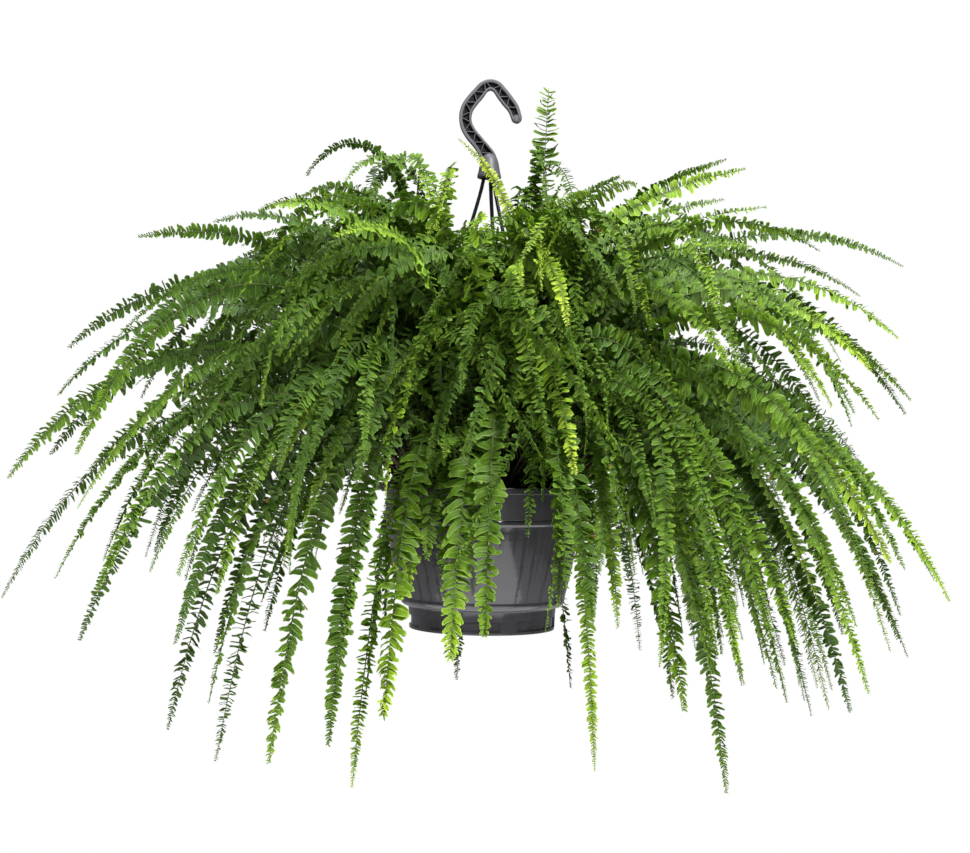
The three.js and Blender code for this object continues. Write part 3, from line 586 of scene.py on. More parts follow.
# %% Paths and sweeps
def smooth_path(points, samples):
    """A centripetal Catmull-Rom curve through the points, at even steps of its length."""
    points = np.array(points, float)
    padded = np.vstack([2 * points[0] - points[1], points, 2 * points[-1] - points[-2]])
    fine = []
    for index in range(1, len(padded) - 2):
        group = padded[index - 1:index + 3]
        knots = np.concatenate([[0], np.cumsum(np.linalg.norm(np.diff(group, axis=0), axis=1) ** 0.5)])
        for t in np.linspace(knots[1], knots[2], 24, endpoint=False):
            level = list(group)
            for depth in (1, 2, 3):
                level = [level[i] * (knots[j] - t) / (knots[j] - knots[k])
                         + level[i + 1] * (t - knots[k]) / (knots[j] - knots[k])
                         for i, (j, k) in enumerate(neighbours(depth))]
            fine.append(level[0])
    fine = np.array([*fine, points[-1]])
    lengths = np.concatenate([[0], np.cumsum(np.linalg.norm(np.diff(fine, axis=0), axis=1))])
    even = np.linspace(0, lengths[-1], samples)
    return np.stack([np.interp(even, lengths, fine[:, axis]) for axis in range(fine.shape[1])], 1), even


def neighbours(depth):
    """Which knots each pair of points is blended between, at each depth of the curve's pyramid."""
    return {1: [(1, 0), (2, 1), (3, 2)], 2: [(2, 0), (3, 1)], 3: [(2, 1)]}[depth]


def skin_rings(rings):
    """Closed rings of points, joined into a tube with flat ends."""
    rings = np.asarray(rings, float)
    count, sides, _ = rings.shape
    side = np.arange(sides)
    following = (side + 1) % sides
    quads = [np.stack([row * sides + side, row * sides + following,
                       (row + 1) * sides + following, (row + 1) * sides + side], 1)
             for row in range(count - 1)]
    ends = [[0, step + 1, step] for step in range(1, sides - 1)]
    last = (count - 1) * sides
    ends += [[last, last + step, last + step + 1] for step in range(1, sides - 1)]
    return rings.reshape(-1, 3), np.concatenate(quads), np.array(ends)


print("paths and sweeps ready")

# %% Hook
HOOK_HALF_WIDTH = 7.2
HOOK_HALF_THICKNESS = 5.0
HOOK_SAMPLES = 150
HOOK_TOP = 6.2               # height of the middle of the strap over the seat
SEAT_WAIST = 1.0             # how much narrower, to each side, the strap is at the seat
SEAT_FROM = -6.0
FLARE = 4.0                  # how much wider, to each side, it is at its foot
FLARE_LENGTH = 38.0
TAPER_FROM = 0.85            # of the length
TAPER = 1.1
TIP_ROUND = 5.5
TIP_EXCESS = 3.5             # how far the tip reaches past the end of the path
TIP_RINGS = np.linspace(0.5, 3.4, 6)
TIP_THINNING = 0.06          # for each millimetre
RIM_WIDTHS = {1: 3.9, -1: 2.8}      # of the rim on the outside of the bend, and on its inside
WEB_HALF = 0.9
CLOSED_HALF = HOOK_HALF_THICKNESS - 0.3      # half the thickness where the channel is closed
POCKETS_FROM = 18.0
POCKET_SLOPE = 4.0
POCKETS_LEFT = 6.0           # length without struts before the tip
CLOSING_FROM = 8.0           # length before the tip at which the channel starts to close
CLOSING_LENGTH = 3.0
POCKET_PITCH = 7.6
STRUT_HALF_WIDTH = 0.55
STRUT_LEAN = 0.38            # of the pitch, to each side
STRUT_EXCESS = 0.3           # how far a strut reaches into the rims
# A strut's section: shares of its half width, and heights over the middle plane
STRUT_SECTION = [(-1, WEB_HALF - 0.5), (-0.9, 4.0), (-0.5, 4.6), (0.5, 4.6), (0.9, 4.0),
                 (1, WEB_HALF - 0.5)]
COLLAR_TOP = -88.0
COLLAR_BOTTOM = -102.5
COLLAR = [(0, COLLAR_BOTTOM), (12.8, COLLAR_BOTTOM), (14, COLLAR_BOTTOM + 1), (13.9, COLLAR_BOTTOM + 3),
          (12.6, COLLAR_BOTTOM + 8), (11.4, COLLAR_TOP), (10.4, COLLAR_TOP + 5), (8.8, COLLAR_TOP + 9.5),
          (6, COLLAR_TOP + 13.5), (0, COLLAR_TOP + 16)]
HOOK_PATH = [
    (0.4, -98), (0.3, -88.5), (-1.4, -78.5), (-6.4, -70.2), (-13.9, -60.5), (-22, -51),
    (-27.4, -41.1), (-28.8, -31), (-26.6, -21.1), (-20.7, -12), (-13.7, -3.7), (-7.6, 3.5),
    (0, HOOK_TOP), (7.1, 3.7), (12.8, -3.1), (19.4, -11.5), (26.4, -20.5), (30.5, -31.2),
    (31.2, -34.3)]
hook_line, hook_lengths = smooth_path(HOOK_PATH, HOOK_SAMPLES)
hook_length = hook_lengths[-1]
hook_along = np.gradient(hook_line, axis=0)
hook_along /= np.linalg.norm(hook_along, axis=1)[:, None]
hook_across = np.stack([-hook_along[:, 1], hook_along[:, 0]], 1)


def on_strap(length, across, depth):
    """A point of the strap: so far along it, so far across, so far from its middle plane."""
    x, z = (np.interp(length, hook_lengths, hook_line[:, axis]) for axis in (0, 1))
    side_x, side_z = (np.interp(length, hook_lengths, hook_across[:, axis]) for axis in (0, 1))
    return np.array([x + side_x * across, depth, z + side_z * across])


def strap_half_width(length):
    """The strap flares into the collar, has a waist at the seat and narrows to a round tip."""
    height = np.interp(length, hook_lengths, hook_line[:, 1])
    width = HOOK_HALF_WIDTH - SEAT_WAIST * max(0, height - SEAT_FROM) / (HOOK_TOP - SEAT_FROM)
    width += FLARE * max(0, 1 - length / FLARE_LENGTH)
    width *= 1 - TAPER * max(0, length / hook_length - TAPER_FROM)
    left = hook_length + TIP_EXCESS - length
    if left < TIP_ROUND:
        width *= math.sqrt(max(0.02, 1 - (1 - left / TIP_ROUND) ** 2))
    return width


def strap_section(length):
    """The H-shaped section of the strap at a place along it, as a ring of points."""
    wide = strap_half_width(length)
    closed = max(0, 1 - max(0, length - POCKETS_FROM + 1) / POCKET_SLOPE)
    closed = max(closed, min(1, max(0, (length - hook_length + CLOSING_FROM) / CLOSING_LENGTH)))
    web = WEB_HALF + (CLOSED_HALF - WEB_HALF) * closed
    deep = HOOK_HALF_THICKNESS
    if length > hook_length - 1:
        deep *= 1 - TIP_THINNING * (length - hook_length + 1)
    quarters = []
    for hand in (1, -1):
        inner = max(0.4, wide - RIM_WIDTHS[hand])
        # the rounded edge of the rim, its face, its rounded inner edge, its foot and the web
        quarters.append([
            (hand * wide, deep - 1.3), (hand * (wide - 0.35), deep - 0.4), (hand * (wide - 0.9), deep),
            (hand * (inner + 0.6), deep), (hand * (inner + 0.15), deep - 0.35),
            (hand * inner, min(deep - 0.6, web + 0.5)), (hand * (inner - 0.3), web)])
    upper = quarters[0] + quarters[1][::-1]
    ring = upper + [(a, -b) for a, b in reversed(upper)]
    return [on_strap(min(length, hook_length), a, b) for a, b in ring]


def strap_part():
    rings = []
    for stop in (*np.linspace(0, hook_length, HOOK_SAMPLES), *(hook_length + TIP_RINGS)):
        past = max(0, stop - hook_length)
        rings.append(strap_section(stop) + past * np.array([hook_along[-1][0], 0, hook_along[-1][1]]))
    return skin_rings(np.array(rings) * MM)


def strut_part(start, end, front):
    """One strut of the zigzag, on the front or the back of the web."""
    run = end - start
    step = np.array([-run[1], run[0]]) / np.linalg.norm(run) * STRUT_HALF_WIDTH
    rings = [[on_strap(*(centre + step * side), -front * depth) for side, depth in STRUT_SECTION]
             for centre in (start, end)]
    rings = np.array(rings) * MM
    return skin_rings(rings[::-1] if front > 0 else rings)


def hook_parts():
    parts = [strap_part()]
    reach = {side: HOOK_HALF_WIDTH - RIM_WIDTHS[side] + STRUT_EXCESS for side in (1, -1)}
    for index in range(1, int((hook_length - POCKETS_LEFT - POCKETS_FROM) / POCKET_PITCH)):
        hand = -1 if index % 2 else 1
        centre = POCKETS_FROM + index * POCKET_PITCH
        start = np.array([centre - STRUT_LEAN * POCKET_PITCH, hand * reach[hand]])
        end = np.array([centre + STRUT_LEAN * POCKET_PITCH, -hand * reach[-hand]])
        parts += [strut_part(start, end, 1), strut_part(start, end, -1)]
    parts.append(turned(round_corners(COLLAR, radius=1.2), sides=64))
    return parts


def pocket_shade_mask(parts):
    """1 on the web between the rims, where the colour is darkened as painted shade, and 0 elsewhere."""
    ring_size = len(strap_section(0))
    half_ring = ring_size // 2
    on_web = (half_ring // 2 - 1, half_ring // 2)
    ring, ring_place = np.divmod(np.arange(len(parts[0][0])), ring_size)
    along = ring / HOOK_SAMPLES * hook_length
    open_part = np.clip((along - POCKETS_FROM) / POCKET_SLOPE, 0, 1) * (along < hook_length - POCKETS_LEFT)
    shade_mask = np.zeros(sum(len(part[0]) for part in parts))
    shade_mask[:len(ring)] = np.isin(ring_place % half_ring, on_web) * open_part
    return shade_mask


hook_pieces = hook_parts()
hook = make_piece("hook_moulding", *join_parts(hook_pieces), materials=[hook_plastic], sharp_degrees=30,
                  values={"pocket_shade": pocket_shade_mask(hook_pieces)})
stand_in_for(hook, "hook_plastic", "hook")
print("hook", round(hook_length), "mm of strap,", len(hook.data.polygons), "faces")

# %% [markdown]
# ## The strands
#
# Three thin rods run from sockets in the collar to the rim, and end in a knob under it. Each is a
# round rod that was moulded flat, so it has a faint flash line, its thickness wanders a little, and
# it bows inwards near the collar. The knob is a barb that snaps through the hole.

# %% Strands
SOCKET_CIRCLE = 7.0
SOCKET_DEPTH = 8.0
STRAND_RADIUS = 2.1
STRAND_WANDER = 0.03         # how much its radius wanders
STRAND_STEPS = 40
STRAND_END = RIM_TOP - 5
STRAND_BOW = 3.2             # inwards, a quarter of the way down
FLASH = 1.09                 # radius of the flash line beside the rod's
PLAY = 0.8                   # over a strand's end in its socket, and between a knob and the rim
# The knob: how far down, and shares of its radius. The boss: heights over the collar's face, and radii
KNOB_RADIUS = 3.3
KNOB = [(0, 0.55), (0.05, 0.95), (0.4, 1.0), (1.5, 1.0), (3.2, 0.8), (4.7, 0.5), (5, 0.35)]
BOSS = [(1, 3.3), (-0.6, 3.2), (-1.4, 2.9), (-1.8, 2.3)]
strand_draws = np.random.default_rng(31)


def strand_point(degrees, height):
    drop = (COLLAR_BOTTOM - height) / (COLLAR_BOTTOM - (RIM_TOP + RIM_UNDERSIDE) / 2)
    bow = STRAND_BOW * math.sin(math.pi * math.sqrt(min(1, max(0, drop))))
    return on_circle(SOCKET_CIRCLE + (STRAND_CIRCLE - SOCKET_CIRCLE) * drop - bow, degrees, height)


def rod_part(stops, sides=16):
    """A rod through (point, radius) stops, with a flash line down each side."""
    along = stops[-1][0] - stops[0][0]
    along /= np.linalg.norm(along)
    side = np.cross(along, (0, 0, 1))
    side /= np.linalg.norm(side)
    other = np.cross(along, side)
    rings = []
    for point, radius in stops:
        ring = []
        for index in range(sides):
            angle = 2 * math.pi * index / sides
            flash = FLASH if index % (sides // 2) == 0 else 1.0
            ring.append(point + radius * flash * (math.cos(angle) * side + math.sin(angle) * other))
        rings.append(ring)
    return skin_rings(np.array(rings)[:, ::-1] * MM)


def make_strand(number, degrees):
    rod = []
    for height in np.linspace(COLLAR_BOTTOM + SOCKET_DEPTH - PLAY, STRAND_END, STRAND_STEPS):
        radius = STRAND_RADIUS * (1 + STRAND_WANDER * strand_draws.standard_normal())
        rod.append((strand_point(degrees, height), radius))
    knob = [(strand_point(degrees, RIM_UNDERSIDE - PLAY - drop), KNOB_RADIUS * share)
            for drop, share in KNOB]
    boss = [(strand_point(degrees, COLLAR_BOTTOM + rise), radius) for rise, radius in BOSS]
    parts = join_parts([rod_part(stops) for stops in (rod, knob, boss)])
    strand = make_piece(f"strand_rod_{number}", *parts, materials=[strand_plastic])
    stand_in_for(strand, "strand_plastic", f"strand_{number}")


for number, degrees in enumerate(STRAND_ANGLES, 1):
    make_strand(number, degrees)
print("strands at", STRAND_ANGLES, "degrees")

# %% [markdown]
# ## The soil
#
# Potting soil is dark, damp crumbs of peat with flakes of bark and white grains of perlite. The bed
# is turned to the inside of the pot and its top is pushed up and down by noise; loose crumbs, each
# a dented little ball, lie on it.

# %% Soil material
CRUMB_COLOURS = [(0.0, (0.016, 0.010, 0.006)), (0.45, (0.030, 0.018, 0.010)), (0.70, (0.075, 0.040, 0.020)),
                 (0.88, (0.11, 0.065, 0.032)), (0.94, (0.50, 0.47, 0.41))]
DAMP = (0.022, 0.015, 0.009, 1)
soil_material, soil_tree, soil_surface = start_material("soil")
crumb_colour = ramp(soil_tree, carried(soil_tree, "crumb"), CRUMB_COLOURS)
soil_colour, soil_height = add_patches(soil_tree, crumb_colour, DAMP, 60.0, 0.5, 1500.0, 0.5)
finish_surface(soil_tree, soil_surface, soil_colour, remap(soil_tree, soil_height, 0.3, 0.7, 0.75, 1.0),
               bumpy(soil_tree, soil_height, 0.8, 0.0006))
print("finish:", soil_material.name)

# %% Soil bed
SOIL_TOP = -475.0
SWELL = 2.2                  # how far the bed swells up and down
SWELL_SCALE = 0.028
RUBBLE = 1.1                 # and how far its crumbs stand up
RUBBLE_SCALE = 0.170
CRUMB_COUNT = 1300
CRUMB_CIRCLE = 107
BARK, PERLITE = 0.7, 0.9     # crumbs drawn from here on are bark, and then perlite
soil_draws = np.random.default_rng(7)


def swell(x, y):
    return SWELL * noise.fractal(Vector((x * SWELL_SCALE, y * SWELL_SCALE, 3)), 1.0, 2.0, 3)


def soil_bed():
    profile = [(0, -582.1), (88.4, -582.1), (107.4, POT_LEDGE - 1.1), (110.4, POT_LEDGE + 1.4),
               (110.4, SOIL_TOP - 2), *((radius, SOIL_TOP) for radius in np.linspace(109, 2, 48)),
               (0, SOIL_TOP)]
    points, quads, triangles = turned(profile, sides=200)
    for point in points:
        if point[2] > (SOIL_TOP - 0.1) * MM:
            x, y = point[:2] / MM
            rubble = RUBBLE * noise.noise(Vector((x * RUBBLE_SCALE, y * RUBBLE_SCALE, 9)))
            point[2] += (swell(x, y) + rubble) * MM
    return points, quads, triangles


def unit_crumb():
    """Twenty faces of an icosahedron."""
    golden = (1 + 5 ** 0.5) / 2
    points = [(a, b * golden, 0) for a in (-1, 1) for b in (-1, 1)]
    points += [(0, a, b * golden) for a in (-1, 1) for b in (-1, 1)]
    points += [(b * golden, 0, a) for a in (-1, 1) for b in (-1, 1)]
    points = np.array(points, float)
    faces = []
    for a, b, c in itertools.combinations(range(12), 3):
        sides = points[[a, b, c]] - points[[b, c, a]]
        if np.abs(np.linalg.norm(sides, axis=1) - 2).max() < 0.01:
            outward = np.dot(np.cross(points[b] - points[a], points[c] - points[a]), points[a]) > 0
            faces.append((a, b, c) if outward else (a, c, b))
    return points / np.linalg.norm(points[0]), np.array(faces)


def make_soil():
    parts = [soil_bed()]
    kinds = [np.full(len(parts[0][0]), 0.2)]
    ball, ball_faces = unit_crumb()
    for _ in range(CRUMB_COUNT):
        kind = soil_draws.random()
        size = soil_draws.uniform(0.8, 2.6) * (1.5 if BARK < kind < PERLITE else 1)
        flat = soil_draws.uniform(0.35, 0.6) if kind > BARK else soil_draws.uniform(0.6, 1.0)
        stretch = np.array([size * soil_draws.uniform(0.8, 1.6), size, size * flat])
        turn = soil_draws.uniform(0, 2 * math.pi)
        cos, sin = math.cos(turn), math.sin(turn)
        spin = np.array([[cos, -sin, 0], [sin, cos, 0], [0, 0, 1]])
        lumps = ball * stretch * soil_draws.uniform(0.75, 1.2, (12, 1))
        radius = CRUMB_CIRCLE * math.sqrt(soil_draws.random())
        centre = on_circle(radius, soil_draws.uniform(0, 360), SOIL_TOP)
        centre[2] += swell(*centre[:2]) + size * flat * 0.4
        parts.append(((lumps @ spin.T + centre) * MM, [], ball_faces))
        kinds.append(np.full(12, kind))
    return make_piece("soil_bed", *join_parts(parts), materials=[soil_material],
                      values={"crumb": np.concatenate(kinds)}, sharp_degrees=60)


soil = make_soil()
stand_in_for(soil, "soil", "soil")
print("soil with", CRUMB_COUNT, "crumbs")

# %% [markdown]
# ## How the fronds arch
#
# The fern is thirty-six crowns, each a golden angle on from the last, with four long fronds each. The
# youngest stand up in the middle, the next reach far out, and the oldest hang down past the pot.
# Every frond is an arch from its crown to its tip. The rule is the construction model's own, with
# the same seeded draws, so that each full frond lies exactly along its plain one.

# %% Where the fronds go
CROWN_COUNT = 36
FRONDS_PER_CROWN = 4
CROWN_DISC_RADIUS = 92.0
GOLDEN_ANGLE = 137.508
ANGLE_SPREAD = 9.5           # degrees between the fronds of a crown, and more for those in the middle
LEVEL_STEP = 0.045           # how much higher and lower than its crown's level every other frond is
STRAND_BERTH = 9             # degrees that fronds keep from a strand
LEVELS = [0, 0.15, 0.30, 0.45, 0.60, 0.75, 0.88, 1]
REACH = [165, 300, 430, 540, 550, 490, 395, 190]
TIP_HEIGHT = [-300, -320, -240, -110, 40, 160, 275, 340]
LIFT_TIPS = [-330, -300, -130, 14, 170, 300, 375, 500]
LIFTS = [98, 102, 145, 205, 275, 328, 414, 540]
GAP_LEFT, GAP_RIGHT = -85, 45      # the gap in which the strands show stays open
GAP_SILL = 240
FRONT_ANGLE = 275            # low fronds within some degrees of it are short, so that the pot shows
FRONT_HALF = 30
FRONT_LEVEL = 0.55

# What the broad fronds in front of the pot have in common
BROAD = {"pitch": 0.33, "louver": 0.22, "crinkle": 1.7, "blunt": 0.3}
# Fronds that stand out: (angle of the tip, distance from the axis, height above the soil, own values).
# The crown is given for those that lean away from theirs.
FEATURED = [
    # the left side, from the top down
    (172, 219, 374), (205, 180, 352), (188, 265, 327, {"lift": 330}), (176, 416, 300, {"lift": 292}),
    (196, 330, 300, {"lift": 300}),
    (168, 525, 170), (196, 432, 170), (188, 487, 110), (174, 522, 40), (182, 550, 14),
    (176, 571, -130), (190, 486, -97), (204, 449, -99), (182, 464, -172), (218, 396, -75),
    (200, 363, -156), (188, 358, -268), (208, 330, -219), (194, 303, -304), (206, 257, -290),
    (222, 219, -264), (240, 293, -185), (228, 204, -307, {"twist": -35}),
    # hanging in front of the pot
    (243, 223, -221, {**BROAD, "wide": 1.12, "age": 0.44, "twist": 14}),
    (257, 190, -162, {**BROAD, "wide": 1.08, "age": 0.40, "twist": -16}),
    (271, 205, -136, {**BROAD, "wide": 1.0, "age": 0.40, "twist": 18, "crinkle": 1.6}),
    (290, 249, -82, {**BROAD, "wide": 0.82, "age": 0.36, "twist": -20, "crinkle": 1.4, "pitch": 0.34,
                     "louver": 0.3, "blunt": 0.2}),
    # the middle and the top
    (350, 68, 478, {"crown": 13, "lift": 350, "twist": 90, "age": 0.16, "louver": 0.6, "wide": 1.02,
                    "pitch": 0.31, "tip_glow": 0.42, "blunt": 0.65}),
    (208, 43, 417, {"crown": 26, "lift": 345, "size": 0.45, "twist": 60, "age": 0.66, "louver": 0.2,
                    "pitch": 0.36, "wide": 1.1}),
    (300, 251, 347, {"lift": 300}), (8, 294, 411, {"lift": 340}), (352, 297, 383, {"lift": 325}),
    (12, 352, 357, {"lift": 305}), (340, 277, 343, {"lift": 295}),
    # the right side, from the top down
    (350, 381, 286), (4, 494, 280), (15, 478, 251), (355, 472, 191), (340, 442, 149),
    (350, 482, 120), (330, 468, 96), (357, 559, -116), (10, 559, -96), (350, 483, -167),
    (330, 483, -50), (338, 437, -122), (352, 422, -233), (345, 379, -231), (333, 367, -206),
    (320, 338, -184), (345, 287, -323), (318, 301, -176), (322, 268, -219), (310, 205, -283),
    (300, 231, -116), (312, 263, -68),
    # bright tips that end in front of the mass
    (232, 222, 17), (248, 223, 100), (240, 208, 8), (220, 288, 154), (212, 325, 114),
    (226, 277, 46), (208, 353, 65), (222, 334, -11), (285, 180, 169), (292, 226, 189),
    (294, 232, 35), (318, 320, 144), (322, 360, 19), (325, 453, -4),
]
# Fronds bent aside by some degrees, because their ribs would cross: (crown, frond, degrees)
BENT_ASIDE = [(0, 0, 3), (1, 0, 6), (2, 3, 3), (3, 0, 3), (3, 3, 5), (4, 0, 3), (5, 3, 5), (12, 3, 3),
              (21, 0, 8), (23, 0, 3), (26, 2, -3), (32, 0, -5)]


class Draws:
    """The construction model's row of seeded draws."""

    def __init__(self, seed):
        self.seed = seed

    def next(self):
        self.seed = (self.seed * 1664525 + 1013904223) % 4294967296
        return self.seed / 4294967296


def turn_between(start, end):
    return (end - start + 540) % 360 - 180


def twist_for(angle, chance):
    most = 40 + 45 * abs(math.cos(math.radians(angle)))
    return (-1 if chance < 0.5 else 1) * most * (0.45 + 0.55 * abs(2 * chance - 1))


def over_pot(angle, level):
    return level < FRONT_LEVEL and abs(turn_between(FRONT_ANGLE, angle)) < FRONT_HALF


def plant_crowns():
    draws = Draws(9001)
    planted = []
    for index in range(CROWN_COUNT):
        share = (index + 0.5) / CROWN_COUNT
        radius = CROWN_DISC_RADIUS * math.sqrt(share)
        angle = (index * GOLDEN_ANGLE) % 360
        level = 1 - share ** 1.2
        spread = ANGLE_SPREAD * min(5, max(1, 85 / radius))
        fronds = []
        for slot in range(FRONDS_PER_CROWN):
            across = slot - (FRONDS_PER_CROWN - 1) / 2
            tip_angle = angle + across * spread + 5 * (draws.next() - 0.5)
            raised = (LEVEL_STEP if slot % 2 else -LEVEL_STEP) + 0.05 * (draws.next() - 0.5)
            own_level = min(1, max(0.03, level + raised))
            fronds.append({
                "angle": tip_angle,
                "reach": float(np.interp(own_level, LEVELS, REACH)),
                "height": float(np.interp(own_level, LEVELS, TIP_HEIGHT)),
                "length": (0.72 + 0.25 * draws.next()) * (0.6 if over_pot(tip_angle, own_level) else 1),
                "sway": 16 * (draws.next() - 0.5),
                "twist": twist_for(tip_angle, draws.next()),
                "size": 0.85 + 0.3 * draws.next(),
                "featured": False})
        planted.append({"radius": radius, "angle": angle, "fronds": fronds})
    return planted


def all_fronds(planted):
    return [frond for crown in planted for frond in crown["fronds"]]


def place_featured(planted):
    """Each frond that stands out takes the place of the one nearest to it."""
    for angle, reach, height, *own in FEATURED:
        own_crown = dict(*own).get("crown")
        near = planted if own_crown is None else [planted[own_crown]]
        free = [frond for frond in all_fronds(near) if not frond["featured"]]
        best = min(free, key=lambda frond: (turn_between(frond["angle"], angle) / 12) ** 2
                   + ((frond["height"] - height) / 60) ** 2)
        best.update(angle=angle, reach=reach, height=height, length=1, sway=0, featured=True)
        best.update(*own)


def leave_gap_open(planted):
    """No other frond stands up in the gap."""
    for frond in all_fronds(planted):
        if not frond["featured"] and GAP_LEFT <= on_circle(frond["reach"], frond["angle"])[0] <= GAP_RIGHT:
            frond["height"] = min(frond["height"], GAP_SILL)


def leave_strands_clear(planted):
    for frond, strand_angle in itertools.product(all_fronds(planted), STRAND_ANGLES):
        turn = turn_between(strand_angle, frond["angle"])
        if abs(turn) < STRAND_BERTH:
            frond["angle"] = strand_angle + (-STRAND_BERTH if turn < 0 else STRAND_BERTH)


crowns = plant_crowns()
place_featured(crowns)
leave_gap_open(crowns)
leave_strands_clear(crowns)
for crown_index, frond_index, degrees in BENT_ASIDE:
    crowns[crown_index]["fronds"][frond_index]["angle"] += degrees
print(len(crowns), "crowns,", len(FEATURED), "fronds placed by hand")

# %% The arch of a frond
CURVE_STEPS = 200
NUDGE = 1e-3                 # step of the curve's value between two places that give a direction
ROOT_OUT, ROOT_UP = 2.5, 2   # where a frond leaves its crown
LEAST_LEAN, MOST_LEAN = 0.12, 0.34      # where it has risen, as a part of its way out
LOWEST_TIP, HIGHEST_TIP = -300, 400
SHOULDER = 0.7               # where it begins to fall, as a part of its way out
RISE, SHOULDER_RISE = 1.05, 1.12
TWISTED_BY = 0.4             # part of its length after which it has its whole twist


def arch_points(crown, frond, t):
    """Points in millimetres of a frond's arch at curve values t."""
    tip = on_circle(frond["reach"], frond["angle"], frond["height"])
    root = on_circle(crown["radius"], crown["angle"]) + on_circle(ROOT_OUT, frond["angle"], ROOT_UP)
    lift = frond.get("lift", float(np.interp(frond["height"], LIFT_TIPS, LIFTS)))
    out = (tip - root) * (1, 1, 0)
    lean = np.interp(frond["height"], (LOWEST_TIP, HIGHEST_TIP), (MOST_LEAN, LEAST_LEAN))
    first = np.array([*(root + out * lean)[:2], lift * RISE])
    second = np.array([*(root + out * SHOULDER)[:2], lift * SHOULDER_RISE])
    along = (t * frond["length"])[:, None]
    points = ((1 - along) ** 3 * root + 3 * (1 - along) ** 2 * along * first
              + 3 * (1 - along) * along ** 2 * second + along ** 3 * tip)
    turn = math.radians(frond["sway"]) * along[:, 0] ** 2
    x = points[:, 0] * np.cos(turn) - points[:, 1] * np.sin(turn)
    y = points[:, 0] * np.sin(turn) + points[:, 1] * np.cos(turn)
    return np.stack([x, y, points[:, 2] + SOIL_TOP], 1)


def unit(vectors):
    return vectors / np.linalg.norm(vectors, axis=1)[:, None]


def arch_frame(crown, frond):
    """A frond's length, and a function that gives place, direction, side and up at parts of it."""
    t = np.linspace(0, 1, CURVE_STEPS + 1)
    line = arch_points(crown, frond, t)
    lengths = np.concatenate([[0], np.cumsum(np.linalg.norm(np.diff(line, axis=0), axis=1))])
    sideways = on_circle(1, frond["angle"] + 90)

    def at_parts(parts):
        values = np.interp(parts * lengths[-1], lengths, t)
        place = arch_points(crown, frond, values)
        along = unit(arch_points(crown, frond, np.minimum(values + NUDGE, 1))
                     - arch_points(crown, frond, np.maximum(values - NUDGE, 0)))
        side = unit(sideways - along * (along @ sideways)[:, None])
        up = np.cross(along, side)
        turn = np.radians(frond["twist"]) * np.minimum(1, parts / TWISTED_BY)
        turned_side = side * np.cos(turn)[:, None] + up * np.sin(turn)[:, None]
        return place, along, turned_side, np.cross(along, turned_side)

    return lengths[-1], at_parts


print("the first frond is", round(arch_frame(crowns[0], crowns[0]["fronds"][0])[0]), "mm long")

# %% [markdown]
# ## Leaf and stem finishes
#
# A fern leaflet is a thin waxy blade: dark and even when it is old, bright yellow-green when it is
# new, with a paler midrib and fine veins that fork towards the edge. Light comes through it, so a
# Translucent shader is mixed with the waxy surface. Each point of the mesh knows its age, into which
# its frond's painted light and shade are mixed, and its place on its own leaflet, and the nodes
# colour it by those. Each leaflet also gets painted shade near the rib and a painted highlight at
# its edges and tip.

# %% Leaf material
LEAF_AGES = [(0.0, (0.012, 0.030, 0.002)), (0.30, (0.043, 0.099, 0.004)), (0.55, (0.116, 0.222, 0.008)),
             (0.78, (0.29, 0.46, 0.02)), (1.0, (0.60, 0.74, 0.08))]
LEAF_PATCH = (0.030, 0.085, 0.012, 1)
# painted shade at the foot of each leaflet, by the rib
PAINTED_SHADE_NEAR_STEM = (0.012, 0.032, 0.004, 1)
MIDRIB = (0.24, 0.40, 0.06, 1)
# painted highlight on each leaflet's edges and tip: how much lighter, and the paler colour mixed in
PAINTED_HIGHLIGHT_GAIN = (2.3, 2.0, 1.5, 1)
PAINTED_HIGHLIGHT_PALE = (0.50, 0.62, 0.34, 1)
VEIN = (0.02, 0.06, 0.008, 1)
VEIN_SLANT, VEIN_RATE = -0.12, 95.0
SCORCHED = (0.19, 0.085, 0.022, 1)
GLOW = (0.55, 0.85, 0.10, 1)
LIGHT_THROUGH = 0.30


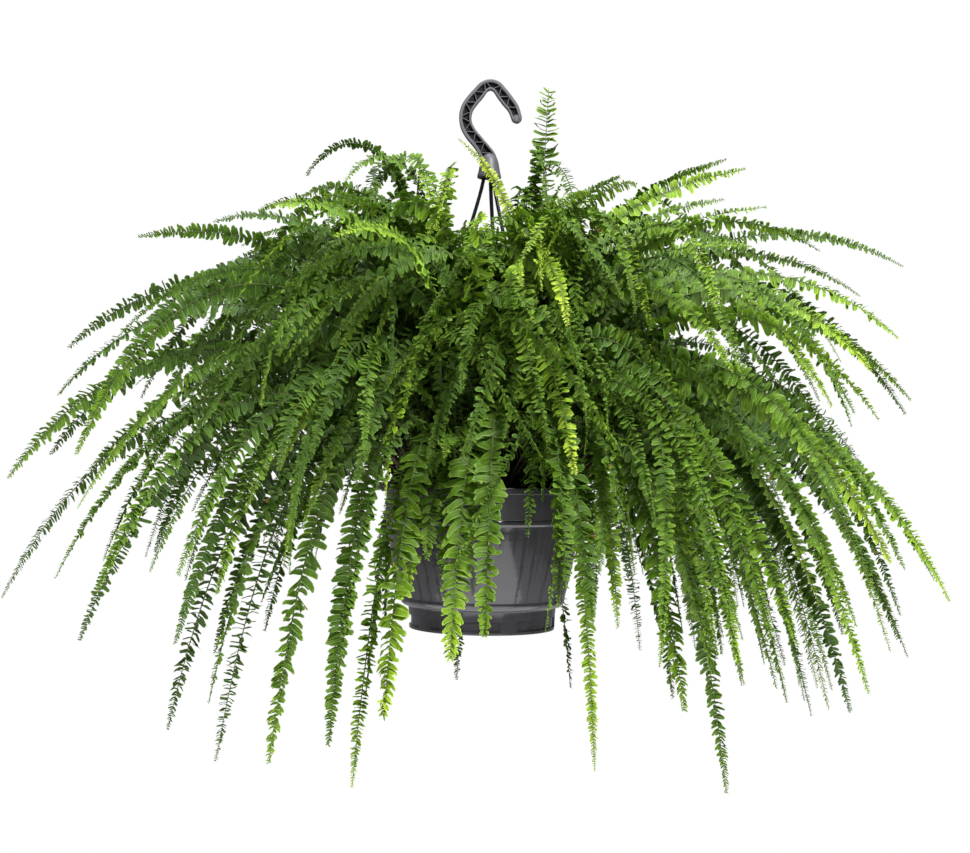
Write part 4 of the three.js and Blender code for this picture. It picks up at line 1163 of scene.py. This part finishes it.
def build_leaf():
    material, tree, surface = start_material("fern_leaf")
    place = add_node(tree, "ShaderNodeSeparateXYZ", {"Vector": carried(tree, "leaf_place", "Vector")})
    along, across, chance = place.outputs
    from_midrib = sum_up(tree, "ABSOLUTE", across)
    aged_and_lit = ramp(tree, carried(tree, "age"), LEAF_AGES)
    colour, speckle = add_patches(tree, aged_and_lit, LEAF_PATCH, 38.0, 0.35, 1300.0, 0.22)
    # painted shade: each leaflet darker towards its foot at the rib
    colour = blend_colours(tree, remap(tree, along, 0.55, 0.0, 0.0, 0.55), colour, PAINTED_SHADE_NEAR_STEM)
    colour = blend_colours(tree, remap(tree, from_midrib, 0.16, 0.02, 0.0, 0.16), colour, MIDRIB)
    # painted highlight: each leaflet's edges and tip made lighter and paler
    highlight_rim = sum_up(tree, "MAXIMUM", remap(tree, from_midrib, 0.62, 1.0), remap(tree, along, 0.80, 1.0))
    highlighted = blend_colours(tree, 1.0, colour, PAINTED_HIGHLIGHT_GAIN, "MULTIPLY")
    colour = blend_colours(tree, sum_up(tree, "MULTIPLY", highlight_rim, 0.8), colour, highlighted)
    colour = blend_colours(tree, sum_up(tree, "MULTIPLY", highlight_rim, 0.17), colour, PAINTED_HIGHLIGHT_PALE)
    vein_run = sum_up(tree, "MULTIPLY_ADD", from_midrib, VEIN_SLANT, along)
    veins = sum_up(tree, "SINE", sum_up(tree, "MULTIPLY", vein_run, VEIN_RATE))
    colour = blend_colours(tree, remap(tree, veins, 0.2, 1.0, 0.0, 0.22), colour, VEIN)
    dead = sum_up(tree, "MULTIPLY", remap(tree, chance, 0.997, 0.999), remap(tree, along, 0.35, 0.8))
    colour = blend_colours(tree, dead, colour, SCORCHED)
    height = sum_up(tree, "MULTIPLY_ADD", veins, 0.4, sum_up(tree, "MULTIPLY", speckle, 0.6))
    finish_surface(tree, surface, colour, remap(tree, speckle, 0.3, 0.7, 0.40, 0.58),
                   bumpy(tree, height, 0.35, 0.0004), specular=0.22)
    glow_colour = blend_colours(tree, 0.6, colour, GLOW)
    glow = add_node(tree, "ShaderNodeBsdfTranslucent", {"Color": glow_colour})
    mixed = add_node(tree, "ShaderNodeMixShader", {
        "Fac": LIGHT_THROUGH, 1: surface.outputs["BSDF"], 2: glow.outputs["BSDF"]})
    tree.links.new(mixed.outputs["Shader"], tree.nodes["Material Output"].inputs["Surface"])
    return material


leaf_material = build_leaf()
print("finish:", leaf_material.name)

# %% Stem material
STEM_AGES = [(0.0, (0.035, 0.018, 0.010)), (0.15, (0.048, 0.030, 0.012)), (0.32, (0.022, 0.036, 0.006)),
             (0.6, (0.055, 0.105, 0.012)), (1.0, (0.30, 0.42, 0.07))]
STEM_PATCH = (0.09, 0.055, 0.022, 1)
stem_material, stem_tree, stem_surface = start_material("fern_stem")
stem_aged_and_lit = ramp(stem_tree, carried(stem_tree, "age"), STEM_AGES)
stem_colour, stem_speckle = add_patches(stem_tree, stem_aged_and_lit, STEM_PATCH, 55.0, 0.4, 1700.0, 0.35)
finish_surface(stem_tree, stem_surface, stem_colour, remap(stem_tree, stem_speckle, 0.3, 0.7, 0.42, 0.62),
               bumpy(stem_tree, stem_speckle, 0.4, 0.0003), specular=0.2)
print("finish:", stem_material.name)

# %% [markdown]
# ## Leaflets
#
# A leaflet is a short oblong blade with an ear at its base and a blunt tip. It sweeps a little
# towards the end of the frond, droops or curls, folds along its midrib and waves at its edges. All
# the leaflets of a frond are worked out at once as arrays: three or four rings of four points and a
# tip each, closed and about a third of a millimetre thick.

# %% Leaflet shape
BARE_PART = 0.17             # of a frond, at its foot
LEAFLET_LENGTH = 22.0
OUTLINE_AT = [0, 0.12, 0.3, 0.6, 0.85, 1]
OUTLINE = [0.45, 0.8, 1, 0.9, 0.55, 0.15]
LEAST_PITCH = 2.4            # from a leaflet to the next
LEAFLETS_FROM = 0.008        # of the leafy length: the first stand before this
LEAFLETS_TO = 0.992
PITCH_RANGE = (0.85, 1.15)
LENGTH_RANGE = (0.80, 1.14)
HALF_WIDTH_RANGE = (0.52, 0.62)      # of the pitch
WAVE_RANGE = (0.08, 0.35)
FORWARD = 3                  # degrees that leaflets point towards the end of the frond
FORWARD_SPREAD = 13
RISE_SPREAD = 16
TIP_TURN = 25                # degrees that the last ones point further on, and up
LEAF_THICKNESS = 0.32
BROAD_FROM = 0.85            # of the usual size: smaller leaflets have a ring less
SKYWARD = np.array([0, 0, 1.0])
NOT_ZERO = 1e-6
leaf_draws = np.random.default_rng(2024)


def leafy_width(at, blunt):
    """Length of the leaflets at a part of the frond's leafy length, beside the longest."""
    return np.interp(at, OUTLINE_AT, OUTLINE) ** (1 - blunt)


def leaflet_places(leafy_length, longest, pitch_share, blunt):
    """Parts of the leafy length where leaflets stand, and their side: 1 or -1."""
    places, hands = [], []
    for hand in (-1, 1):
        at = leaf_draws.uniform(0, LEAFLETS_FROM)
        while at < LEAFLETS_TO:
            places.append(at)
            hands.append(hand)
            pitch = max(LEAST_PITCH, pitch_share * longest * float(leafy_width(at, blunt)))
            at += pitch * leaf_draws.uniform(*PITCH_RANGE) / leafy_length
    return np.array(places), np.array(hands)


def grow_leaflets(crown, frond):
    """Everything that shapes the leaflets of one frond, as arrays with a row for each leaflet."""
    length, at_parts = arch_frame(crown, frond)
    longest = LEAFLET_LENGTH * frond["size"] * frond["wide"]
    at, hand = leaflet_places(length * (1 - BARE_PART), longest, frond["pitch"], frond["blunt"])
    count = len(at)

    def about(middle, spread):
        return leaf_draws.normal(middle, spread, count)

    def between(low, high):
        return leaf_draws.uniform(low, high, count)

    place, along, side, up = at_parts(BARE_PART + (1 - BARE_PART) * at)
    long = longest * leafy_width(at, frond["blunt"]) * between(*LENGTH_RANGE)
    forward = np.radians(about(FORWARD, FORWARD_SPREAD) + TIP_TURN * at ** 4)
    axis = side * (hand * np.cos(forward))[:, None] + along * np.sin(forward)[:, None]
    rise = np.radians(about(frond["rise"], RISE_SPREAD) + TIP_TURN * at ** 4)
    axis = unit(axis * np.cos(rise)[:, None] + up * np.sin(rise)[:, None])
    flat = unit(up - axis * np.sum(up * axis, 1)[:, None])
    sky = unit(SKYWARD - axis * axis[:, 2:3] + NOT_ZERO)
    lean = np.clip(frond["louver"] + about(0, 0.20), 0, 1)[:, None]
    facing = unit(flat * (1 - lean) + sky * lean + NOT_ZERO)
    return {
        "hand": hand, "long": long, "axis": axis, "facing": facing,
        "across": np.cross(axis, facing) * hand[:, None],
        "base": place + side * hand[:, None] * 0.3,
        "half": long * frond["pitch"] * between(*HALF_WIDTH_RANGE),
        "sweep": about(0.04, 0.10), "droop": about(frond["droop"], 0.12),
        "weight": about(frond["weight"], 0.10), "curl": about(0.0, 0.14),
        "fold": about(frond["fold"], 0.20), "wave": between(*WAVE_RANGE) * frond["crinkle"],
        "phase": between(0, 6.28), "chance": leaf_draws.random(count),
        "age": frond["age"] + frond["tip_glow"] * at ** 2.2}


class LeafForm:
    """Rings along a leaflet: their places, widths, thickness and the ear at its base, and its faces."""

    def __init__(self, places, widths, thickness, ear):
        self.places, self.widths = np.array(places), np.array(widths)
        self.thickness, self.ear = np.array(thickness), np.array(ear)
        self.count = 4 * len(places) + 1
        self.along = np.append(np.repeat(self.places, 4), 1.0)
        self.across = np.append(np.tile([-1.0, 0.0, 1.0, 0.0], len(places)), 0.0)
        quads = [(4 * ring + corner, 4 * ring + corner + 4, 4 * ring + (corner + 1) % 4 + 4,
                  4 * ring + (corner + 1) % 4) for ring in range(len(places) - 1) for corner in range(4)]
        last = 4 * (len(places) - 1)
        self.quads = np.array([*quads, (0, 1, 2, 3)])
        self.tips = np.array([(last + corner, last + 4, last + (corner + 1) % 4) for corner in range(4)])


BROAD_LEAFLET = LeafForm([0.0, 0.20, 0.60, 0.90], [0.62, 1.0, 1.0, 0.74], [1.5, 1.2, 1.0, 0.8],
                         [0.30, 0.14, 0.0, 0.0])
SMALL_LEAFLET = LeafForm([0.0, 0.36, 0.86], [0.75, 1.0, 0.82], [1.4, 1.1, 0.8], [0.25, 0.08, 0.0])


def leaflet_points(leaflets, form):
    """The points of every leaflet: rings of rear edge, top, front edge and bottom, and a tip."""
    long, half, sweep, droop, curl, fold, wave, phase, weight = (
        leaflets[key][:, None]
        for key in ("long", "half", "sweep", "droop", "curl", "fold", "wave", "phase", "weight"))
    s = form.places
    out = long * s * (1 - 0.06 * s)
    ahead = long * sweep * s ** 2
    drop = -long * (droop * s ** 2 + curl * np.sin(2.6 * s))
    wide = half * form.widths
    front = wide + half * form.ear
    edge = drop + fold * wide
    ripple = wave * half * np.sin(7.5 * s + phase)
    ripple_front = wave * half * np.sin(8.5 * s + 1.7 * phase)
    thick = LEAF_THICKNESS / 2 * form.thickness
    corners = ((ahead - wide, edge + ripple), (ahead, drop + thick),
               (ahead + front, edge + ripple_front), (ahead, drop - thick))
    local = np.stack([np.stack([out, *corner], 2) for corner in corners], 2)
    tip = np.stack([long * 0.95, long * sweep, -long * (droop + curl * 0.5)], 2)
    local = np.concatenate([local.reshape(len(tip), -1, 3), tip], 1)
    frame_axes = np.stack([leaflets["axis"], leaflets["across"], leaflets["facing"]], 1)
    points = np.einsum("npk,nkd->npd", local, frame_axes) + leaflets["base"][:, None, :]
    points[..., 2] -= long * weight * form.along ** 2
    return points


print("a leaflet has", BROAD_LEAFLET.count, "or", SMALL_LEAFLET.count, "points")

# %% [markdown]
# ## Keeping leaflets off the pot and the strands
#
# A leaflet that would cut through a strand, the hook or the pot's wall is left out, as the real ones
# are pushed aside.

# %% Clearances
STRAND_CLEARANCE = 5.0
COLLAR_CLEARANCE = 16.0      # from the collar's axis
POT_CLEARANCE = 2.0


def distance_to_line(points, start, end):
    run = end - start
    t = np.clip((points - start) @ run / (run @ run), 0, 1)
    return np.linalg.norm(points - (start + t[..., None] * run), axis=-1)


def clear_of_holders(points, gap_to_strand=STRAND_CLEARANCE):
    """Which rows of points are all clear of the strands, the collar and the pot."""
    clear = np.ones(len(points), bool)
    for degrees in STRAND_ANGLES:
        gap = distance_to_line(points, strand_point(degrees, COLLAR_BOTTOM), strand_point(degrees, RIM_TOP))
        clear &= gap.min(1) > gap_to_strand
    collar_gap = distance_to_line(points, np.array([0, 0, COLLAR_BOTTOM]), np.array([0, 0, COLLAR_TOP]))
    clear &= collar_gap.min(1) > COLLAR_CLEARANCE
    radius = np.hypot(points[..., 0], points[..., 1])
    wall_top = np.where(radius > POT_MOUTH - POT_CLEARANCE, RIM_TOP, SOIL_TOP) + POT_CLEARANCE
    inside = (radius < RIM_RADIUS + POT_CLEARANCE) & (points[..., 2] < wall_top)
    return clear & ~inside.any(1)


print("leaflets keep", STRAND_CLEARANCE, "mm from the strands")

# %% Ribs and crowns
RIB_SIDES = 6
RIB_STEP = 11.0
RIB_RADIUS = 1.45
RIB_TAPER = 0.78
CROWN_SIDES = 14
CROWN_TURN = 4               # degrees for each millimetre of height
CROWN_SHAPE = [(-14, 6.4), (-6, 6.8), (0, 6.5), (3, 5.8), (6, 5.2), (8, 3.6)]      # heights and radii
CROWN_AGE = 0.02
RIB_AGES = (0.05, 0.40)      # at its foot, and a third of the way along it
SCALES_FROM = -3             # the scales stand out above this height
SCALE_DEPTH = 0.14


def rib_part(crown, frond):
    """The rib of a frond as a thin tapering tube, and the age of each of its points, with its frond's
    painted light and shade mixed in.
    """
    length, at_parts = arch_frame(crown, frond)
    parts = np.linspace(0, 0.995, max(12, int(length / RIB_STEP)))
    place, along, side, up = at_parts(parts)
    radius = RIB_RADIUS * (1 - RIB_TAPER * parts) * frond["size"] ** 0.5
    rings = []
    for index in range(RIB_SIDES):
        angle = 2 * math.pi * index / RIB_SIDES
        rings.append(place + radius[:, None] * (math.cos(angle) * side + math.sin(angle) * up))
    age = np.interp(parts, (0, 1 / 3), RIB_AGES) + 0.25 * frond["age"]
    age += frond["tip_glow"] * parts ** 2 * 0.6
    return skin_rings(np.stack(rings, 1) * MM), np.repeat(age, RIB_SIDES)


def crown_part(crown):
    """The scaly stub that the fronds of a crown grow from."""
    centre = on_circle(crown["radius"], crown["angle"])
    rings = []
    for height, radius in CROWN_SHAPE:
        ring = []
        for index in range(CROWN_SIDES):
            scale = SCALE_DEPTH * (index % 2) * (height > SCALES_FROM)
            own_radius = radius * (1 + scale + leaf_draws.normal(0, 0.04))
            turn = index * 360 / CROWN_SIDES + height * CROWN_TURN
            ring.append(centre + on_circle(own_radius, turn, SOIL_TOP + height))
        rings.append(ring)
    return skin_rings(np.array(rings) * MM)


def leaves_part(crown, frond):
    """The leaflets of a frond that keep clear: a part, and for each point its age, with its frond's painted
    light and shade mixed in, and its place.
    """
    leaflets = grow_leaflets(crown, frond)
    form = BROAD_LEAFLET if frond["size"] * frond["wide"] > BROAD_FROM else SMALL_LEAFLET
    points = leaflet_points(leaflets, form)
    kept = clear_of_holders(points)
    points, chance = points[kept], leaflets["chance"][kept]
    starts = np.arange(len(points))[:, None, None] * form.count
    quads, tips = form.quads + starts, form.tips + starts
    mirrored = leaflets["hand"][kept] > 0
    for faces in (quads, tips):
        faces[mirrored] = faces[mirrored][:, :, ::-1]
    age = np.repeat(leaflets["age"][kept] + 0.10 * (chance - 0.5), form.count)
    place = np.empty(points.shape)
    place[..., 0], place[..., 1], place[..., 2] = form.along, form.across, chance[:, None]
    part = points.reshape(-1, 3) * MM, quads.reshape(-1, 4), tips.reshape(-1, 3)
    return part, age, place.reshape(-1, 3), len(points)


def dress_crown(crown, number):
    """The stub, ribs and leaflets of a crown as one piece, which is made of two materials."""
    stub = crown_part(crown)
    fronds = crown["fronds"]
    ribs, rib_ages = zip(*(rib_part(crown, frond) for frond in fronds))
    leaves, leaf_ages, leaf_places, leaf_counts = zip(*(leaves_part(crown, frond) for frond in fronds))
    stems = join_parts([stub, *ribs])
    points, quads, triangles = join_parts([stems, *leaves])
    kinds = np.zeros(len(quads) + len(triangles), int)
    kinds[:len(stems[1])] = 1
    kinds[len(quads):len(quads) + len(stems[2])] = 1
    age = np.concatenate([np.full(len(stub[0]), CROWN_AGE), *rib_ages, *leaf_ages])
    place = np.concatenate([np.zeros((len(stems[0]), 3)), *leaf_places])
    piece = make_piece(f"fern_fronds_{number:02d}", points, quads, triangles,
                       materials=[leaf_material, stem_material], material_index=kinds,
                       values={"age": np.clip(age, 0, 1), "leaf_place": place}, sharp_degrees=70)
    stand_in_for(piece, "fern_leaf", f"fern_crown_{number:02d}")
    return sum(leaf_counts), len(points)


print("ribs of", RIB_SIDES, "sides, crowns of", CROWN_SIDES)

# %% [markdown]
# ## Giving each frond its character
#
# Fronds high up are younger, and hanging ones older and dark. Fronds that face the front, where the
# lamps fall, are given a younger, brighter green and more lime at their tips, those on the right a
# little more, and those at the back a darker green: that is painted light and shade.
# Some hold their leaflets flat, some turn them up to the light like the slats of a blind.

# %% Frond character
frond_draws = np.random.default_rng(55)


def give_character(frond):
    """Fills in the values that a frond hasn't been given."""
    # painted light and shade: fronds that face the front, and those on the right, get a younger and
    # brighter age value, and fronds at the back a darker one
    facing_front = 0.5 - 0.5 * math.sin(math.radians(frond["angle"]))
    young = np.clip((frond["height"] + 150) / 600, 0, 1)
    usual_age_and_light = 0.16 + 0.10 * young + 0.22 * facing_front ** 2
    usual_age_and_light += 0.04 * math.cos(math.radians(frond["angle"]))
    slatted = frond_draws.uniform(0.35, 1.0) - 0.25 * facing_front
    character = {
        "age": np.clip(frond_draws.normal(usual_age_and_light, 0.09), 0.04, 0.8),
        # painted light: more lime at the tips of fronds that face the front
        "tip_glow": frond_draws.uniform(0.1, 0.6) * (0.25 + 0.9 * facing_front),
        "louver": np.clip(slatted, 0, 0.92),
        "rise": frond_draws.normal(2, 10),
        "droop": frond_draws.normal(0.10, 0.12),
        "weight": frond_draws.uniform(0.05, 0.35),
        "fold": frond_draws.normal(-0.12, 0.20),
        "wide": frond_draws.uniform(0.56, 0.86),
        "crinkle": 1,
        "blunt": 0,
        "pitch": 0.35 + 0.09 * slatted}
    for key, value in character.items():
        frond.setdefault(key, float(value))


for frond in all_fronds(crowns):
    give_character(frond)
print("character for", len(all_fronds(crowns)), "long fronds")

# %% [markdown]
# ## Young fronds
#
# Between the long fronds a real fern always has shorter, younger ones, too many to count. Most are
# drawn at random from a seeded generator, and drawn again if their ribs would touch a strand, the
# hook or the pot. Eight broad ones spill over the rim of the pot in front, and thirty-six bright ones
# stand up in the heart of the plant.

# %% Young fronds
YOUNG_PER_CROWN = 9
MORE_TO_RIGHT = 4            # the right side is the fuller one
YOUNG_TURN = 75              # degrees from their crown's own angle, at most
YOUNG_BEYOND = 45            # how far they reach past their crown, at least
YOUNG_SHIFT = 55             # how much lower they hang on the right side, and higher on the left
AHEAD_HIGHER = 95            # in front of the pot they are higher and shorter
AHEAD_SHORTER = 0.5
YOUNG_NEAREST, YOUNG_FURTHEST = 80, 520
YOUNG_REACH = [80, 130, 160, 250, 420, 520]
YOUNG_LOWEST = [120, 30, -60, -150, -180, -60]
YOUNG_HIGHEST = [300, 280, 260, 235, 160, 60]
YOUNG_SIDEWAYS = [45, 45, 40, 30, 20, 0]      # how much higher they may stand at the sides
RIB_CLEARANCE = 7.0
WINDOW_MIDDLE = -6           # nothing grows up into the gap where the strands show
WINDOW_HALF = 36
WINDOW_SILL = -160
# In the heart of the plant: how many, then the ranges across, in depth and in height
HEART = [(13, (32, 128), (-75, 45), (300, 366)), (14, (-30, 60), (-95, 15), (268, 316)),
         (9, (-120, -30), (-80, 40), (262, 305))]
HEART_ROOT = 0.6             # part of the way out to its tip at which such a frond grows
# Broad fronds that spill over the rim in front: (angle, distance from the axis, height)
SPILLING = [(248, 161, -59), (256, 166, -84), (264, 156, -54), (271, 152, -48), (233, 162, -17),
            (240, 160, -90), (308, 158, -17), (316, 172, -60)]
OUTER_FROM = 60              # the crowns further out than this can spill


def stands_free(crown, frond):
    """Whether a frond's rib keeps out of the gap and clear of what holds the pot."""
    rib = arch_points(crown, frond, np.linspace(0.06, 1, 40))
    in_window = (abs(rib[:, 0] - WINDOW_MIDDLE) < WINDOW_HALF) & (rib[:, 2] > WINDOW_SILL)
    return not in_window.any() and clear_of_holders(rib[:, None, :], RIB_CLEARANCE).all()


def young_frond(crown, usual_reach):
    """One short frond of a crown that keeps clear of what holds the pot."""
    while True:
        angle = crown["angle"] + frond_draws.uniform(-YOUNG_TURN, YOUNG_TURN)
        ahead = max(0, -math.sin(math.radians(angle))) ** 3
        to_right = math.cos(math.radians(angle))
        drawn = frond_draws.triangular(YOUNG_NEAREST, usual_reach, YOUNG_FURTHEST)
        reach = max(crown["radius"] + YOUNG_BEYOND, drawn * (1 - AHEAD_SHORTER * ahead))
        lowest, highest, sideways = (float(np.interp(reach, YOUNG_REACH, row))
                                     for row in (YOUNG_LOWEST, YOUNG_HIGHEST, YOUNG_SIDEWAYS))
        lowest += AHEAD_HIGHER * ahead - YOUNG_SHIFT * to_right
        highest += sideways * abs(to_right)
        height = lowest + (highest - lowest) * frond_draws.random() ** (1 + 0.9 * max(0, to_right))
        frond = {"angle": angle, "reach": reach, "height": height, "length": 1.0,
                 "lift": max(0, height) * 0.9 + 55 + 0.28 * reach + frond_draws.uniform(0, 60),
                 "sway": frond_draws.uniform(-14, 14) * (1 + 2 * ahead),
                 "twist": twist_for(angle, frond_draws.random()), "size": frond_draws.uniform(0.7, 1.0)}
        give_character(frond)
        frond["tip_glow"] *= 1 - 0.7 * ahead
        if stands_free(crown, frond):
            return frond


def heart_frond(across, depth, heights):
    """A bright frond that stands up in the middle, and the crown that it grows from."""
    while True:
        x, y = frond_draws.uniform(*across), frond_draws.uniform(*depth)
        crown = min(crowns, key=lambda crown: np.linalg.norm(
            on_circle(crown["radius"], crown["angle"])[:2] - (HEART_ROOT * x, HEART_ROOT * y)))
        height = frond_draws.uniform(*heights)
        frond = {"angle": math.degrees(math.atan2(y, x)) % 360, "reach": math.hypot(x, y), "height": height,
                 "length": 1.0, "lift": height + frond_draws.uniform(-70, 10), "sway": 0.0,
                 "twist": frond_draws.uniform(-80, 80), "size": frond_draws.uniform(0.62, 0.85),
                 "wide": frond_draws.uniform(0.8, 1.05), "age": frond_draws.uniform(0.36, 0.62),
                 "tip_glow": frond_draws.uniform(0.1, 0.35), "louver": frond_draws.uniform(0.2, 0.6)}
        if stands_free(crown, frond):
            return crown, frond


def spilling_frond(angle, reach, height):
    """A broad frond over the rim, and the outer crown nearest to it."""
    outer = [crown for crown in crowns if crown["radius"] > OUTER_FROM]
    crown = min(outer, key=lambda crown: abs(turn_between(crown["angle"], angle)))
    frond = {"angle": angle, "reach": reach, "height": height, "length": 1.0, "lift": 75, "sway": 0,
             "twist": frond_draws.uniform(-25, 25), "size": 0.95, "wide": frond_draws.uniform(0.8, 1.0),
             "age": frond_draws.uniform(0.30, 0.44), "louver": 0.35, "pitch": 0.37, "crinkle": 1.7}
    return crown, frond


def add_frond(crown, frond):
    give_character(frond)
    crown["fronds"].append(frond)


for crown in crowns:
    more = round(MORE_TO_RIGHT * max(0, math.cos(math.radians(crown["angle"]))))
    usual_reaches = np.linspace(110, 500, YOUNG_PER_CROWN + more)
    crown["fronds"] += [young_frond(crown, usual) for usual in usual_reaches]
for place in SPILLING:
    add_frond(*spilling_frond(*place))
for count, *ranges in HEART:
    for _ in range(count):
        add_frond(*heart_frond(*ranges))
totals = [dress_crown(crown, number) for number, crown in enumerate(crowns, 1)]
print(sum(total[0] for total in totals), "leaflets,", sum(total[1] for total in totals), "points")
